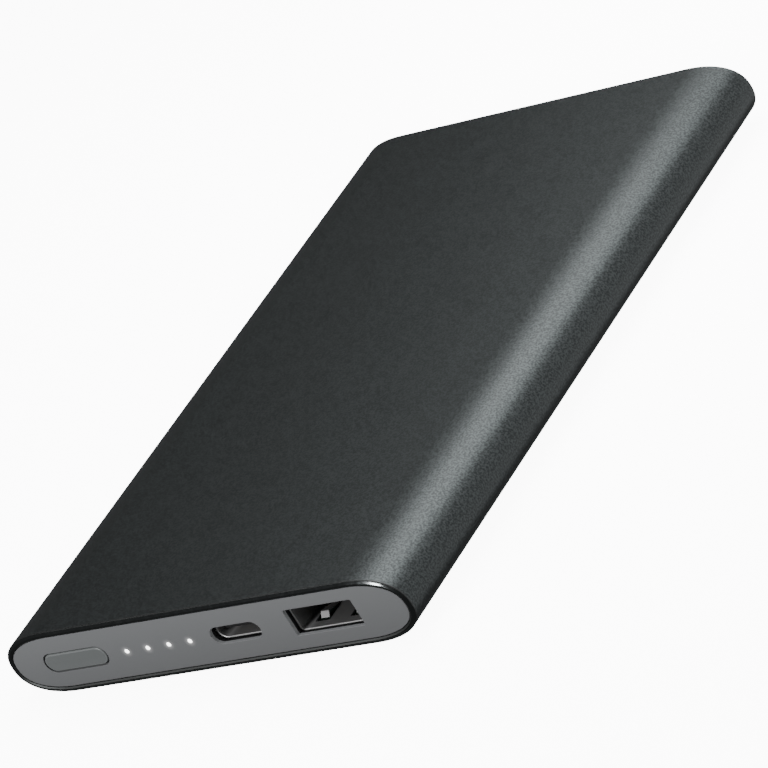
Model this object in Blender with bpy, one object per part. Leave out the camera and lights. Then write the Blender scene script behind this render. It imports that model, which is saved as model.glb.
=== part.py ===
"""Slim power bank: an extruded sleeve, closed at each end by a panel glued to a screwed-in frame.

Metres, +Z up. The origin is the middle of the bottom face. The socket face looks along -Y, with the
USB-A socket on the +X side.
"""

import math

import bmesh
import bpy

MM = 0.001

# Body. Its outline is flat above and below, with a rounded side of a superellipse's shape.
BODY_WIDTH = 75.0 * MM
BODY_LENGTH = 123.0 * MM
BODY_HEIGHT = 11.0 * MM
SIDE_DEPTH = 9.8 * MM
SIDE_EXPONENT = 2.32
SIDE_STEPS = 28
SLEEVE_WALL = 0.95 * MM
BEVEL_INSET = 0.5 * MM
BEVEL_DEPTH = 0.3 * MM
MOUTH_CHAMFER = 0.25 * MM
MOUTH_DEPTH = 0.15 * MM
BEVEL_MIDDLE = 0.5

# Screw rails inside the sleeve's sides
RAIL_INNER_X = 32.4 * MM
RAIL_OUTER_X = 36.8 * MM
RAIL_HEIGHT = 3.2 * MM

# Layers of each end, from its mouth inwards
PANEL_RECESS = 0.2 * MM
PANEL_THICKNESS = 0.9 * MM
PANEL_SEAM = 0.08 * MM
LAYER_GAP = 0.05 * MM
ADHESIVE_THICKNESS = 0.15 * MM
FRAME_THICKNESS = 2.0 * MM
FRAME_CLEARANCE = 0.25 * MM

# Frame screws
SCREW_TIP = 0.5 * MM
SCREW_HEAD_ROUND = 0.25 * MM
SCREW_HEAD_FLOOR = 0.2 * MM
SCREW_X = 34.0 * MM
SCREW_HEAD_RADIUS = 1.5 * MM
SCREW_HEAD_HEIGHT = 0.9 * MM
SCREW_SHANK_RADIUS = 0.8 * MM
SCREW_LENGTH = 6.2 * MM
SCREW_CLEARANCE = 0.15 * MM
RECESS_WIDTH = 1.7 * MM
RECESS_ARM = 0.45 * MM
RECESS_DEPTH = 0.5 * MM

# Height of the button's, the switch's and the lights' middle
CONTROL_Z = 5.4 * MM

# Button and its switch
BUTTON_X = -24.95 * MM
BUTTON_WIDTH = 11.8 * MM
BUTTON_HEIGHT = 3.15 * MM
BUTTON_GAP = 0.14 * MM
BUTTON_RIM = 0.2 * MM
FLANGE_WIDTH = 13.0 * MM
FLANGE_HEIGHT = 4.4 * MM
FLANGE_THICKNESS = 0.6 * MM
FLANGE_PLAY = 0.1 * MM
POCKET_CLEARANCE = 0.2 * MM
POCKET_DEPTH = 1.05 * MM
PUSHER_SIDE = 2.4 * MM
PUSHER_HOLE = 3.0 * MM
PUSHER_CORNER = 0.2 * MM
PUSHER_HOLE_CORNER = 0.3 * MM
PUSHER_BACK = -57.6 * MM
PLUNGER_RADIUS = 0.9 * MM
PLUNGER_LENGTH = 1.8 * MM
PLUNGER_EDGE = 0.15 * MM
SWITCH_WIDTH = 6.0 * MM
SWITCH_HEIGHT = 3.4 * MM
SWITCH_DEPTH = 1.85 * MM
SWITCH_FRONT = -56.35 * MM
SWITCH_EDGE = 0.15 * MM
SWITCH_POCKET_RADIUS = 1.05 * MM
SWITCH_POCKET_DEPTH = 1.3 * MM
DOME_RADIUS = 0.9 * MM
DOME_RISE = 0.17 * MM
DOME_SHEET = 0.08 * MM

# Charge lights
LIGHT_COUNT = 4
LIGHT_FIRST_X = -15.1 * MM
LIGHT_PITCH = 4.0 * MM
LIGHT_RADIUS = 0.34 * MM
LIGHT_GAP = 0.05 * MM
LIGHT_TAPE_GAP = 0.5 * MM
LIGHT_FRAME_GAP = 0.4 * MM
STUB_SIDE = 0.9 * MM
STUB_CORNER = 0.2 * MM
STUB_OVERLAP = 0.2 * MM
GUIDE_FRONT = -57.9 * MM
GUIDE_THICKNESS = 1.0 * MM
GUIDE_HEIGHT = 1.2 * MM
GUIDE_MARGIN = 2.0 * MM
GUIDE_EDGE = 0.15 * MM
STUB_BACK = -55.2 * MM
LED_SIZE = (1.6 * MM, 0.6 * MM, 0.9 * MM)
LED_GAP = 0.1 * MM
LED_EDGE = 0.08 * MM

# USB-C socket
PORT_C_X = 5.6 * MM
PORT_C_Z = 5.5 * MM
PORT_C_WIDTH = 8.94 * MM
PORT_C_HEIGHT = 3.16 * MM
PORT_C_SHEET = 0.3 * MM
PORT_C_HOLE = (9.1 * MM, 3.0 * MM)
PORT_C_FRONT = -59.95 * MM
PORT_C_LENGTH = 7.3 * MM
PORT_C_TAPE_GAP = 0.35 * MM
PORT_C_FRAME_GAP = 0.28 * MM
PORT_C_BASE_GAP = 0.07 * MM
PORT_C_BASE_WIDTH = 8.4 * MM
TONGUE_C_WIDTH = 6.69 * MM
TONGUE_C_THICKNESS = 0.7 * MM
TONGUE_C_FRONT = -59.2 * MM
TONGUE_C_ROOT = -55.5 * MM
TONGUE_C_CORNER = 0.2 * MM

# USB-A socket
PORT_A_X = 21.8 * MM
PORT_A_Z = 5.62 * MM
PORT_A_OPENING = (12.15 * MM, 4.55 * MM)
PORT_A_SHEET = 0.3 * MM
PORT_A_CORNER = 0.6 * MM
PORT_A_HOLE = (12.3 * MM, 4.6 * MM)
PORT_A_HOLE_CORNER = 0.25 * MM
PORT_A_FRONT = -59.9 * MM
PORT_A_LENGTH = 13.3 * MM
PORT_A_TAPE_GAP = 0.3 * MM
PORT_A_FRAME_GAP = 0.2 * MM
PORT_A_BASE_GAP = 0.075 * MM
PORT_A_BASE_CORNER = 0.25 * MM
PORT_BASE_RECESS = 0.2 * MM
WINDOW_X = 3.2 * MM
WINDOW_WIDTH = 2.7 * MM
WINDOW_FRONT = 1.4 * MM
WINDOW_LENGTH = 6.0 * MM
LEAF_WIDTH = 1.45 * MM
LEAF_SHIFT = 0.25 * MM
LEAF_SHEET = 0.2 * MM
LEAF_RISE = 0.9 * MM
LEAF_TIP_RISE = 0.1 * MM
LEAF_TIP = 0.5 * MM
LEAF_CREST = (1.1 * MM, 1.3 * MM)
LEAF_ROOT = (1.6 * MM, 0.4 * MM)
TONGUE_A_WIDTH = 11.1 * MM
TONGUE_A_THICKNESS = 1.8 * MM
TONGUE_A_LIFT = 1.05 * MM
TONGUE_A_FRONT = -57.9 * MM
TONGUE_A_ROOT = -49.8 * MM
TONGUE_A_CORNER = 0.3 * MM
CONTACT_A_X = (-3.5 * MM, -1.0 * MM, 1.0 * MM, 3.5 * MM)
CONTACT_A_SIZE = (1.0 * MM, 6.0 * MM, 0.2 * MM)
CONTACT_A_RECESS = 0.8 * MM

# Boards
BOARD_BOTTOM = 2.2 * MM
BOARD_THICKNESS = 0.8 * MM
BOARD_HALF_WIDTH = 31.5 * MM
BOARD_FRONT = -57.9 * MM
BOARD_BACK = -38.5 * MM
BOARD_NOTCH_BACK = -53.45 * MM
SMALL_BOARD_X = (-31.5 * MM, -1.0 * MM)
SMALL_BOARD_Y = (-54.45 * MM, -53.65 * MM)
SMALL_BOARD_Z = (2.4 * MM, 8.8 * MM)
INSULATION_SIZE = (54.0 * MM, 14.5 * MM, 0.2 * MM)
INSULATION_DROP = 0.65 * MM

# Cells and their tray
CELL_SIZE = (28.4 * MM, 88.0 * MM, 7.0 * MM)
CELL_X = 14.95 * MM
CELL_FRONT = -36.5 * MM
CELL_BOTTOM = 2.3 * MM
CELL_EDGE = 1.0 * MM
TRAY_HALF_WIDTH = 30.2 * MM
TRAY_BOTTOM = 1.1 * MM
TRAY_FLOOR = 1.0 * MM
TRAY_TOP = 5.2 * MM
TRAY_FRONT = -57.6 * MM
TRAY_WALL_FRONT = -37.9 * MM
TRAY_BACK = 54.0 * MM
BAY_WIDTH = 28.9 * MM
BAY_Y = (-37.2 * MM, 53.3 * MM)
FOAM_THICKNESS = 0.55 * MM
TAB_WIDTH = 4.0 * MM
TAB_SHEET = 0.15 * MM
TAB_Z = 5.75 * MM
TAB_BACK = -40.5 * MM
TAB_SPREAD = 7.0 * MM
END_FOAM_SIZE = (56.0 * MM, 3.6 * MM, 7.0 * MM)
END_FOAM_Y = 54.3 * MM

# Places that follow from the sizes above
MIDDLE_Z = BODY_HEIGHT / 2
MOUTH_Y = BODY_LENGTH / 2
PANEL_FRONT = PANEL_RECESS - MOUTH_Y
PANEL_BACK = PANEL_FRONT + PANEL_THICKNESS
ADHESIVE_FRONT = PANEL_BACK + LAYER_GAP
FRAME_FRONT = ADHESIVE_FRONT + ADHESIVE_THICKNESS + LAYER_GAP
FRAME_BACK = FRAME_FRONT + FRAME_THICKNESS
RAIL_FRONT = FRAME_BACK + 2 * LAYER_GAP
PANEL_INSET = SLEEVE_WALL + PANEL_SEAM
FRAME_INSET = SLEEVE_WALL + FRAME_CLEARANCE
BOARD_TOP = BOARD_BOTTOM + BOARD_THICKNESS
COMPONENT_BOTTOM = BOARD_TOP + LAYER_GAP
SLEEVE_CEILING = BODY_HEIGHT - SLEEVE_WALL

CORNER_STEPS = 6
TURN_SEGMENTS = 16
OVERSHOOT = 0.5 * MM

FINISHES = {
    "anodised_aluminium": ((0.033, 0.038, 0.039), 0.42, 0.9),
    "panel_plastic": ((0.150, 0.153, 0.158), 0.5, 0.0),
    "button_plastic": ((0.140, 0.148, 0.150), 0.5, 0.0),
    "frame_plastic": ((0.02, 0.02, 0.021), 0.6, 0.0),
    "adhesive": ((0.022, 0.022, 0.023), 0.8, 0.0),
    "screw_steel": ((0.45, 0.45, 0.46), 0.3, 1.0),
    "socket_steel": ((0.22, 0.22, 0.225), 0.3, 1.0),
    "socket_plastic": ((0.012, 0.012, 0.013), 0.45, 0.0),
    "gold_contact": ((0.8, 0.55, 0.2), 0.25, 1.0),
    "switch_plastic": ((0.05, 0.05, 0.05), 0.5, 0.0),
    "dome_steel": ((0.6, 0.6, 0.6), 0.2, 1.0),
    "clear_acrylic": ((0.9, 0.93, 0.95), 0.1, 0.0),
    "led_ceramic": ((0.85, 0.85, 0.8), 0.4, 0.0),
    "board_laminate": ((0.006, 0.014, 0.01), 0.4, 0.0),
    "chip_epoxy": ((0.012, 0.012, 0.012), 0.55, 0.0),
    "ferrite": ((0.06, 0.06, 0.065), 0.7, 0.0),
    "capacitor_epoxy": ((0.55, 0.33, 0.05), 0.5, 0.0),
    "tray_plastic": ((0.7, 0.7, 0.68), 0.6, 0.0),
    "cell_foil": ((0.55, 0.56, 0.58), 0.35, 0.8),
    "foam": ((0.03, 0.03, 0.03), 0.95, 0.0),
    "nickel": ((0.6, 0.58, 0.54), 0.3, 1.0),
    "insulation_film": ((0.75, 0.35, 0.06), 0.3, 0.0),
}


def clear_scene():
    """Remove whatever the startup file holds."""
    for leftover in list(bpy.data.objects):
        bpy.data.objects.remove(leftover)


def finish(name):
    """The named finish as a material, made the first time that it is asked for."""
    existing = bpy.data.materials.get(name)
    if existing:
        return existing
    colour, roughness, metallic = FINISHES[name]
    material = bpy.data.materials.new(name)
    material.use_nodes = True
    shader = material.node_tree.nodes["Principled BSDF"]
    shader.inputs["Base Color"].default_value = (*colour, 1.0)
    shader.inputs["Roughness"].default_value = roughness
    shader.inputs["Metallic"].default_value = metallic
    return material


def add_object(name, shape, location):
    """Put a finished bmesh in the scene as one object."""
    mesh = bpy.data.meshes.new(name)
    shape.to_mesh(mesh)
    shape.free()
    part = bpy.data.objects.new(name, mesh)
    part.location = location
    bpy.context.scene.collection.objects.link(part)
    return part


def combine(part, operation, cutters):
    """Cut the cutters from the part, or join them to it, and keep the result as its mesh."""
    for cutter in cutters:
        modifier = part.modifiers.new(cutter.name, "BOOLEAN")
        modifier.operation = operation
        modifier.solver = "EXACT"
        modifier.object = cutter
    depsgraph = bpy.context.evaluated_depsgraph_get()
    mesh = bpy.data.meshes.new_from_object(part.evaluated_get(depsgraph))
    part.modifiers.clear()
    part.data = mesh
    for cutter in cutters:
        bpy.data.objects.remove(cutter)


def dress(part, finish_name, smooth_angle=35.0):
    """Give the part its one material, and smooth its round faces."""
    part.data.materials.clear()
    part.data.materials.append(finish(finish_name))
    part.data.shade_smooth()
    part.data.set_sharp_from_angle(angle=math.radians(smooth_angle))
    return part


# Outlines, as lists of (x, z)


def body_outline(inset):
    """The body's cross-section about its own middle, moved in by inset along its normals."""
    flat_half = BODY_WIDTH / 2 - SIDE_DEPTH
    half_height = BODY_HEIGHT / 2
    points = []
    for side in (1, -1):
        for step in range(SIDE_STEPS + 1):
            angle = math.pi * (step / SIDE_STEPS - 0.5)
            across = abs(math.cos(angle)) ** (2 / SIDE_EXPONENT)
            up = math.copysign(abs(math.sin(angle)) ** (2 / SIDE_EXPONENT), math.sin(angle))
            normal_x = across ** (SIDE_EXPONENT - 1) / SIDE_DEPTH
            normal_z = math.copysign(abs(up) ** (SIDE_EXPONENT - 1) / half_height, up)
            length = math.hypot(normal_x, normal_z)
            x = flat_half + SIDE_DEPTH * across - inset * normal_x / length
            z = half_height * up - inset * normal_z / length
            points.append((side * x, side * z))
    return points


def rounded_outline(width, height, radius):
    """A rectangle with round corners; with a radius of half its height it is a pill."""
    points = []
    corners = ((1, -1), (1, 1), (-1, 1), (-1, -1))
    for quarter, (side_x, side_z) in enumerate(corners):
        centre_x = side_x * (width / 2 - radius)
        centre_z = side_z * (height / 2 - radius)
        for step in range(CORNER_STEPS + 1):
            angle = math.pi / 2 * (quarter - 1 + step / CORNER_STEPS)
            points.append((centre_x + radius * math.cos(angle), centre_z + radius * math.sin(angle)))
    return [point for i, point in enumerate(points) if math.dist(point, points[i - 1]) > MM * 1e-4]


def pill_outline(width, height):
    """A rectangle with half-round ends."""
    return rounded_outline(width, height, height / 2)


def cross_outline(width, arm):
    """The plus shape of a screwdriver recess."""
    half = width / 2
    side = arm / 2
    quarter = [(half, -side), (half, side), (side, side)]
    points = []
    for turn in range(4):
        cosine = round(math.cos(turn * math.pi / 2))
        sine = round(math.sin(turn * math.pi / 2))
        points += [(x * cosine - z * sine, x * sine + z * cosine) for x, z in quarter]
    return points


# Solids, as bmeshes about their own origin


def lofted(rings, hollow=False):
    """Solid through (outline, y) rings of equal length: capped, or joined last to first if hollow."""
    shape = bmesh.new()
    loops = [[shape.verts.new((x, y, z)) for x, z in outline] for outline, y in rings]
    followers = loops[1:] + loops[:1] if hollow else loops[1:]
    for loop, follower in zip(loops, followers):
        for i in range(len(loop)):
            shape.faces.new((loop[i - 1], loop[i], follower[i], follower[i - 1]))
    if not hollow:
        shape.faces.new(loops[0])
        shape.faces.new(loops[-1])
    bmesh.ops.recalc_face_normals(shape, faces=shape.faces)
    return shape


def plate(outline, thickness):
    """Flat piece with its front at its own origin."""
    return lofted([(outline, 0.0), (outline, thickness)])


def block(size, edge=0.0):
    """Box about its own middle, with its edges bevelled by edge."""
    shape = bmesh.new()
    bmesh.ops.create_cube(shape, size=1.0)
    bmesh.ops.scale(shape, vec=size, verts=shape.verts)
    if edge:
        bmesh.ops.bevel(shape, geom=shape.edges, offset=edge, segments=2, profile=0.5, affect="EDGES")
    return shape


def turned(profile):
    """Solid turned about Y from (radius, y) points that start and end on the axis."""
    shape = bmesh.new()
    verts = [shape.verts.new((radius, y, 0.0)) for radius, y in profile]
    edges = [shape.edges.new(pair) for pair in zip(verts, verts[1:])]
    full_turn = math.radians(360.0)
    bmesh.ops.spin(shape, geom=verts + edges, cent=(0, 0, 0), axis=(0, 1, 0), angle=full_turn,
                   steps=TURN_SEGMENTS, use_merge=True)
    bmesh.ops.remove_doubles(shape, verts=shape.verts, dist=MM * 1e-4)
    bmesh.ops.recalc_face_normals(shape, faces=shape.faces)
    return shape


def rod(radius, length):
    """Round bar along Y with its front at its own origin."""
    return turned([(0.0, 0.0), (radius, 0.0), (radius, length), (0.0, length)])


def strip(profile, width):
    """Solid of a (y, z) outline, as wide as width along X about its own middle."""
    shape = bmesh.new()
    near = [shape.verts.new((-width / 2, y, z)) for y, z in profile]
    far = [shape.verts.new((width / 2, y, z)) for y, z in profile]
    shape.faces.new(near)
    shape.faces.new(far)
    for i in range(len(profile)):
        shape.faces.new((near[i - 1], near[i], far[i], far[i - 1]))
    bmesh.ops.recalc_face_normals(shape, faces=shape.faces)
    return shape


def add_block(name, size, low_corner_z, middle, finish_name, edge=0.0):
    """A box-shaped piece from its size, the height of its underside, and its middle in X and Y."""
    location = (middle[0], middle[1], low_corner_z + size[2] / 2)
    return dress(add_object(name, block(size, edge), location), finish_name)


def hole(outline, front, depth, x, z):
    """A cutter of the outline's shape, which starts just before front and goes depth beyond it."""
    return add_object("cutter", plate(outline, depth + OVERSHOOT), (x, front - OVERSHOOT, z))


def bore(radius, front, depth, x, z):
    """A round cutter that starts just before front and goes depth beyond it."""
    return add_object("cutter", rod(radius, depth + OVERSHOOT), (x, front - OVERSHOOT, z))


def through(outline, layer_front, layer_thickness, x, z):
    """A cutter that passes through a layer and stands out of both its faces."""
    return hole(outline, layer_front, layer_thickness + OVERSHOOT, x, z)


def light_places():
    """The X of each charge light."""
    return [LIGHT_FIRST_X + LIGHT_PITCH * i for i in range(LIGHT_COUNT)]


# The pieces


def build_sleeve():
    """Extruded tube with bevelled mouths and a screw rail along the inside of each side."""
    crest = body_outline(BEVEL_INSET)
    outer = body_outline(0.0)
    mid_bevel = body_outline(BEVEL_INSET * BEVEL_MIDDLE)
    lip = body_outline(SLEEVE_WALL - MOUTH_CHAMFER)
    inner = body_outline(SLEEVE_WALL)
    front_rings = [
        (inner, MOUTH_DEPTH - MOUTH_Y),
        (lip, -MOUTH_Y),
        (crest, -MOUTH_Y),
        (mid_bevel, BEVEL_DEPTH * BEVEL_MIDDLE - MOUTH_Y),
        (outer, BEVEL_DEPTH - MOUTH_Y),
    ]
    back_rings = [(outline, -y) for outline, y in reversed(front_rings)]
    sleeve = add_object("casing_sleeve", lofted(front_rings + back_rings, hollow=True), (0, 0, MIDDLE_Z))
    rail_size = (RAIL_OUTER_X - RAIL_INNER_X, -2 * RAIL_FRONT, RAIL_HEIGHT)
    rail_x = (RAIL_OUTER_X + RAIL_INNER_X) / 2
    rails = [add_object("rail", block(rail_size), (side * rail_x, 0, MIDDLE_Z)) for side in (1, -1)]
    combine(sleeve, "UNION", rails)
    pilot_radius = SCREW_SHANK_RADIUS + SCREW_CLEARANCE
    pilot_length = SCREW_LENGTH
    pilots = []
    for side in (1, -1):
        pilots.append(bore(pilot_radius, RAIL_FRONT, pilot_length, side * SCREW_X, MIDDLE_Z))
        back_start = -RAIL_FRONT - pilot_length
        pilots.append(bore(pilot_radius, back_start + OVERSHOOT, pilot_length, side * SCREW_X, MIDDLE_Z))
    combine(sleeve, "DIFFERENCE", pilots)
    dress(sleeve, "anodised_aluminium")


def socket_cutters(front, thickness, margin_c, margin_a):
    """Cutters for both sockets through a layer, wider than each socket's shell by a margin."""
    outline_c = pill_outline(PORT_C_WIDTH + 2 * margin_c, PORT_C_HEIGHT + 2 * margin_c)
    opening_width, opening_height = PORT_A_OPENING
    grow = 2 * (PORT_A_SHEET + margin_a)
    outline_a = rounded_outline(opening_width + grow, opening_height + grow, PORT_A_CORNER)
    return [
        through(outline_c, front, thickness, PORT_C_X, PORT_C_Z),
        through(outline_a, front, thickness, PORT_A_X, PORT_A_Z),
    ]


def build_front_panel():
    """Visible grey panel with its button, light, USB-C and USB-A openings."""
    panel = add_object("front_panel", plate(body_outline(PANEL_INSET), PANEL_THICKNESS),
                       (0, PANEL_FRONT, MIDDLE_Z))
    button = pill_outline(BUTTON_WIDTH + 2 * BUTTON_GAP, BUTTON_HEIGHT + 2 * BUTTON_GAP)
    port_a = rounded_outline(*PORT_A_HOLE, PORT_A_HOLE_CORNER)
    cutters = [
        through(button, PANEL_FRONT, PANEL_THICKNESS, BUTTON_X, CONTROL_Z),
        through(pill_outline(*PORT_C_HOLE), PANEL_FRONT, PANEL_THICKNESS, PORT_C_X, PORT_C_Z),
        through(port_a, PANEL_FRONT, PANEL_THICKNESS, PORT_A_X, PORT_A_Z),
    ]
    for x in light_places():
        cutters.append(bore(LIGHT_RADIUS + LIGHT_GAP, PANEL_FRONT, PANEL_THICKNESS + OVERSHOOT,
                            x, CONTROL_Z))
    combine(panel, "DIFFERENCE", cutters)
    dress(panel, "panel_plastic")


def light_slot(margin):
    """The pill-shaped outline that clears all the light guide's prongs."""
    width = LIGHT_PITCH * (LIGHT_COUNT - 1) + 2 * (LIGHT_RADIUS + margin)
    return pill_outline(width, 2 * (LIGHT_RADIUS + margin))


def light_middle():
    """The X halfway between the first light and the last."""
    return LIGHT_FIRST_X + LIGHT_PITCH * (LIGHT_COUNT - 1) / 2


def build_front_adhesive():
    """Die-cut tape between the front panel and its frame."""
    tape = add_object("front_adhesive", plate(body_outline(FRAME_INSET), ADHESIVE_THICKNESS),
                      (0, ADHESIVE_FRONT, MIDDLE_Z))
    pocket = pill_outline(FLANGE_WIDTH + 2 * POCKET_CLEARANCE, FLANGE_HEIGHT + 2 * POCKET_CLEARANCE)
    cutters = socket_cutters(ADHESIVE_FRONT, ADHESIVE_THICKNESS, PORT_C_TAPE_GAP, PORT_A_TAPE_GAP)
    cutters.append(through(pocket, ADHESIVE_FRONT, ADHESIVE_THICKNESS, BUTTON_X, CONTROL_Z))
    cutters.append(through(light_slot(LIGHT_TAPE_GAP), ADHESIVE_FRONT, ADHESIVE_THICKNESS,
                           light_middle(), CONTROL_Z))
    combine(tape, "DIFFERENCE", cutters)
    dress(tape, "adhesive")


def screw_cutters():
    """Stepped cutters for the heads and shanks of the two screws through the front frame."""
    head = SCREW_HEAD_RADIUS + SCREW_CLEARANCE
    head_floor = OVERSHOOT + SCREW_HEAD_HEIGHT + SCREW_HEAD_FLOOR
    shank = SCREW_SHANK_RADIUS + SCREW_CLEARANCE
    end = FRAME_THICKNESS + 2 * OVERSHOOT
    profile = [(0, 0), (head, 0), (head, head_floor), (shank, head_floor), (shank, end), (0, end)]
    return [
        add_object("cutter", turned(profile), (side * SCREW_X, FRAME_FRONT - OVERSHOOT, MIDDLE_Z))
        for side in (1, -1)
    ]


def build_front_carrier():
    """Moulded frame that holds the panel, guides the button and is screwed to the rails."""
    carrier = add_object("front_carrier", plate(body_outline(FRAME_INSET), FRAME_THICKNESS),
                         (0, FRAME_FRONT, MIDDLE_Z))
    pocket = pill_outline(FLANGE_WIDTH + 2 * POCKET_CLEARANCE, FLANGE_HEIGHT + 2 * POCKET_CLEARANCE)
    pusher = rounded_outline(PUSHER_HOLE, PUSHER_HOLE, PUSHER_HOLE_CORNER)
    cutters = screw_cutters()
    cutters += socket_cutters(FRAME_FRONT, FRAME_THICKNESS, PORT_C_FRAME_GAP, PORT_A_FRAME_GAP)
    cutters.append(hole(pocket, FRAME_FRONT, POCKET_DEPTH, BUTTON_X, CONTROL_Z))
    cutters.append(through(pusher, FRAME_FRONT, FRAME_THICKNESS, BUTTON_X, CONTROL_Z))
    cutters.append(through(light_slot(LIGHT_FRAME_GAP), FRAME_FRONT, FRAME_THICKNESS,
                           light_middle(), CONTROL_Z))
    combine(carrier, "DIFFERENCE", cutters)
    dress(carrier, "frame_plastic")


def build_rear_end():
    """Plain panel, tape and frame that close the back of the sleeve."""
    panel = add_object("rear_panel", plate(body_outline(PANEL_INSET), PANEL_THICKNESS),
                       (0, -PANEL_BACK, MIDDLE_Z))
    dress(panel, "panel_plastic")
    tape = add_object("rear_adhesive", plate(body_outline(FRAME_INSET), ADHESIVE_THICKNESS),
                      (0, -ADHESIVE_FRONT - ADHESIVE_THICKNESS, MIDDLE_Z))
    dress(tape, "adhesive")
    carrier = add_object("rear_carrier", plate(body_outline(FRAME_INSET), FRAME_THICKNESS),
                         (0, -FRAME_BACK, MIDDLE_Z))
    cutters = screw_cutters()
    for cutter in cutters:
        cutter.rotation_euler.z = math.pi
        cutter.location.y = -cutter.location.y
    combine(carrier, "DIFFERENCE", cutters)
    dress(carrier, "frame_plastic")


def build_screws():
    """Four pan-head screws with a cross recess, two through each frame into the rails."""
    head_front = FRAME_FRONT + LAYER_GAP
    profile = [
        (0.0, 0.0),
        (SCREW_HEAD_RADIUS - SCREW_HEAD_ROUND, 0.0),
        (SCREW_HEAD_RADIUS, SCREW_HEAD_ROUND),
        (SCREW_HEAD_RADIUS, SCREW_HEAD_HEIGHT),
        (SCREW_SHANK_RADIUS, SCREW_HEAD_HEIGHT),
        (SCREW_SHANK_RADIUS, SCREW_LENGTH - SCREW_TIP),
        (SCREW_SHANK_RADIUS - SCREW_TIP / 2, SCREW_LENGTH),
        (0.0, SCREW_LENGTH),
    ]
    places = [(1, 1), (-1, 1), (1, -1), (-1, -1)]
    for number, (side, end) in enumerate(places, start=1):
        screw = add_object(f"frame_screw_{number}", turned(profile), (0, 0, 0))
        recess = hole(cross_outline(RECESS_WIDTH, RECESS_ARM), 0.0, RECESS_DEPTH, 0, 0)
        combine(screw, "DIFFERENCE", [recess])
        screw.location = (side * SCREW_X, end * head_front, MIDDLE_Z)
        screw.rotation_euler.z = 0.0 if end == 1 else math.pi
        dress(screw, "screw_steel")


def build_button():
    """Pill button with a flange that keeps it in, and a pusher. Its origin is on its travel axis."""
    full = pill_outline(BUTTON_WIDTH, BUTTON_HEIGHT)
    face = pill_outline(BUTTON_WIDTH - 2 * BUTTON_RIM, BUTTON_HEIGHT - 2 * BUTTON_RIM)
    flange_front = PANEL_THICKNESS + FLANGE_PLAY
    body_back = flange_front + FLANGE_THICKNESS / 2
    rings = [(face, 0.0), (full, BUTTON_RIM), (full, body_back)]
    button = add_object("power_button", lofted(rings), (0, 0, 0))
    flange = add_object("flange", plate(pill_outline(FLANGE_WIDTH, FLANGE_HEIGHT), FLANGE_THICKNESS),
                        (0, flange_front, 0))
    pusher_front = flange_front + FLANGE_THICKNESS / 3
    pusher_outline = rounded_outline(PUSHER_SIDE, PUSHER_SIDE, PUSHER_CORNER)
    pusher = add_object("pusher", plate(pusher_outline, PUSHER_BACK - PANEL_FRONT - pusher_front),
                        (0, pusher_front, 0))
    combine(button, "UNION", [flange, pusher])
    button.location = (BUTTON_X, PANEL_FRONT, CONTROL_Z)
    dress(button, "button_plastic")


def build_switch():
    """Tactile switch behind the button: body, sprung dome and plunger."""
    body = add_object("switch_body", block((SWITCH_WIDTH, SWITCH_DEPTH, SWITCH_HEIGHT), SWITCH_EDGE),
                      (BUTTON_X, SWITCH_FRONT + SWITCH_DEPTH / 2, CONTROL_Z))
    pocket = bore(SWITCH_POCKET_RADIUS, SWITCH_FRONT, SWITCH_POCKET_DEPTH, BUTTON_X, CONTROL_Z)
    combine(body, "DIFFERENCE", [pocket])
    dress(body, "switch_plastic")

    plunger_profile = [
        (0.0, 0.0),
        (PLUNGER_RADIUS - PLUNGER_EDGE, 0.0),
        (PLUNGER_RADIUS, PLUNGER_EDGE),
        (PLUNGER_RADIUS, PLUNGER_LENGTH),
        (0.0, PLUNGER_LENGTH),
    ]
    plunger = add_object("switch_plunger", turned(plunger_profile),
                         (BUTTON_X, PUSHER_BACK + LAYER_GAP, CONTROL_Z))
    dress(plunger, "socket_plastic")

    dome_profile = [
        (0.0, 0.0),
        (DOME_RADIUS / 2, DOME_RISE / 4),
        (DOME_RADIUS, DOME_RISE),
        (DOME_RADIUS, DOME_RISE + DOME_SHEET),
        (DOME_RADIUS / 2, DOME_RISE / 4 + DOME_SHEET),
        (0.0, DOME_SHEET),
    ]
    pocket_floor = SWITCH_FRONT + SWITCH_POCKET_DEPTH
    dome_front = pocket_floor - LAYER_GAP - DOME_SHEET - DOME_RISE
    dome = add_object("switch_dome", turned(dome_profile), (BUTTON_X, dome_front, CONTROL_Z))
    dress(dome, "dome_steel")


def build_lights():
    """Four LEDs and the clear guide that carries their light to the panel."""
    bar_width = LIGHT_PITCH * (LIGHT_COUNT - 1) + GUIDE_MARGIN
    bar = block((bar_width, GUIDE_THICKNESS, GUIDE_HEIGHT), GUIDE_EDGE)
    bar_middle = GUIDE_FRONT + GUIDE_THICKNESS / 2
    guide = add_object("light_guide", bar, (light_middle(), bar_middle, CONTROL_Z))
    stub_front = bar_middle - STUB_OVERLAP
    stub_outline = rounded_outline(STUB_SIDE, STUB_SIDE, STUB_CORNER)
    led_y = STUB_BACK + LED_GAP + LED_SIZE[1] / 2
    for number, x in enumerate(light_places(), start=1):
        prong = add_object("prong", rod(LIGHT_RADIUS, bar_middle - PANEL_FRONT),
                           (x, PANEL_FRONT, CONTROL_Z))
        stub = add_object("stub", plate(stub_outline, STUB_BACK - stub_front), (x, stub_front, CONTROL_Z))
        combine(guide, "UNION", [prong])
        combine(guide, "UNION", [stub])
        add_block(f"led_{number}", LED_SIZE, CONTROL_Z - LED_SIZE[2] / 2, (x, led_y), "led_ceramic",
                  LED_EDGE)
    dress(guide, "clear_acrylic")


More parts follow.
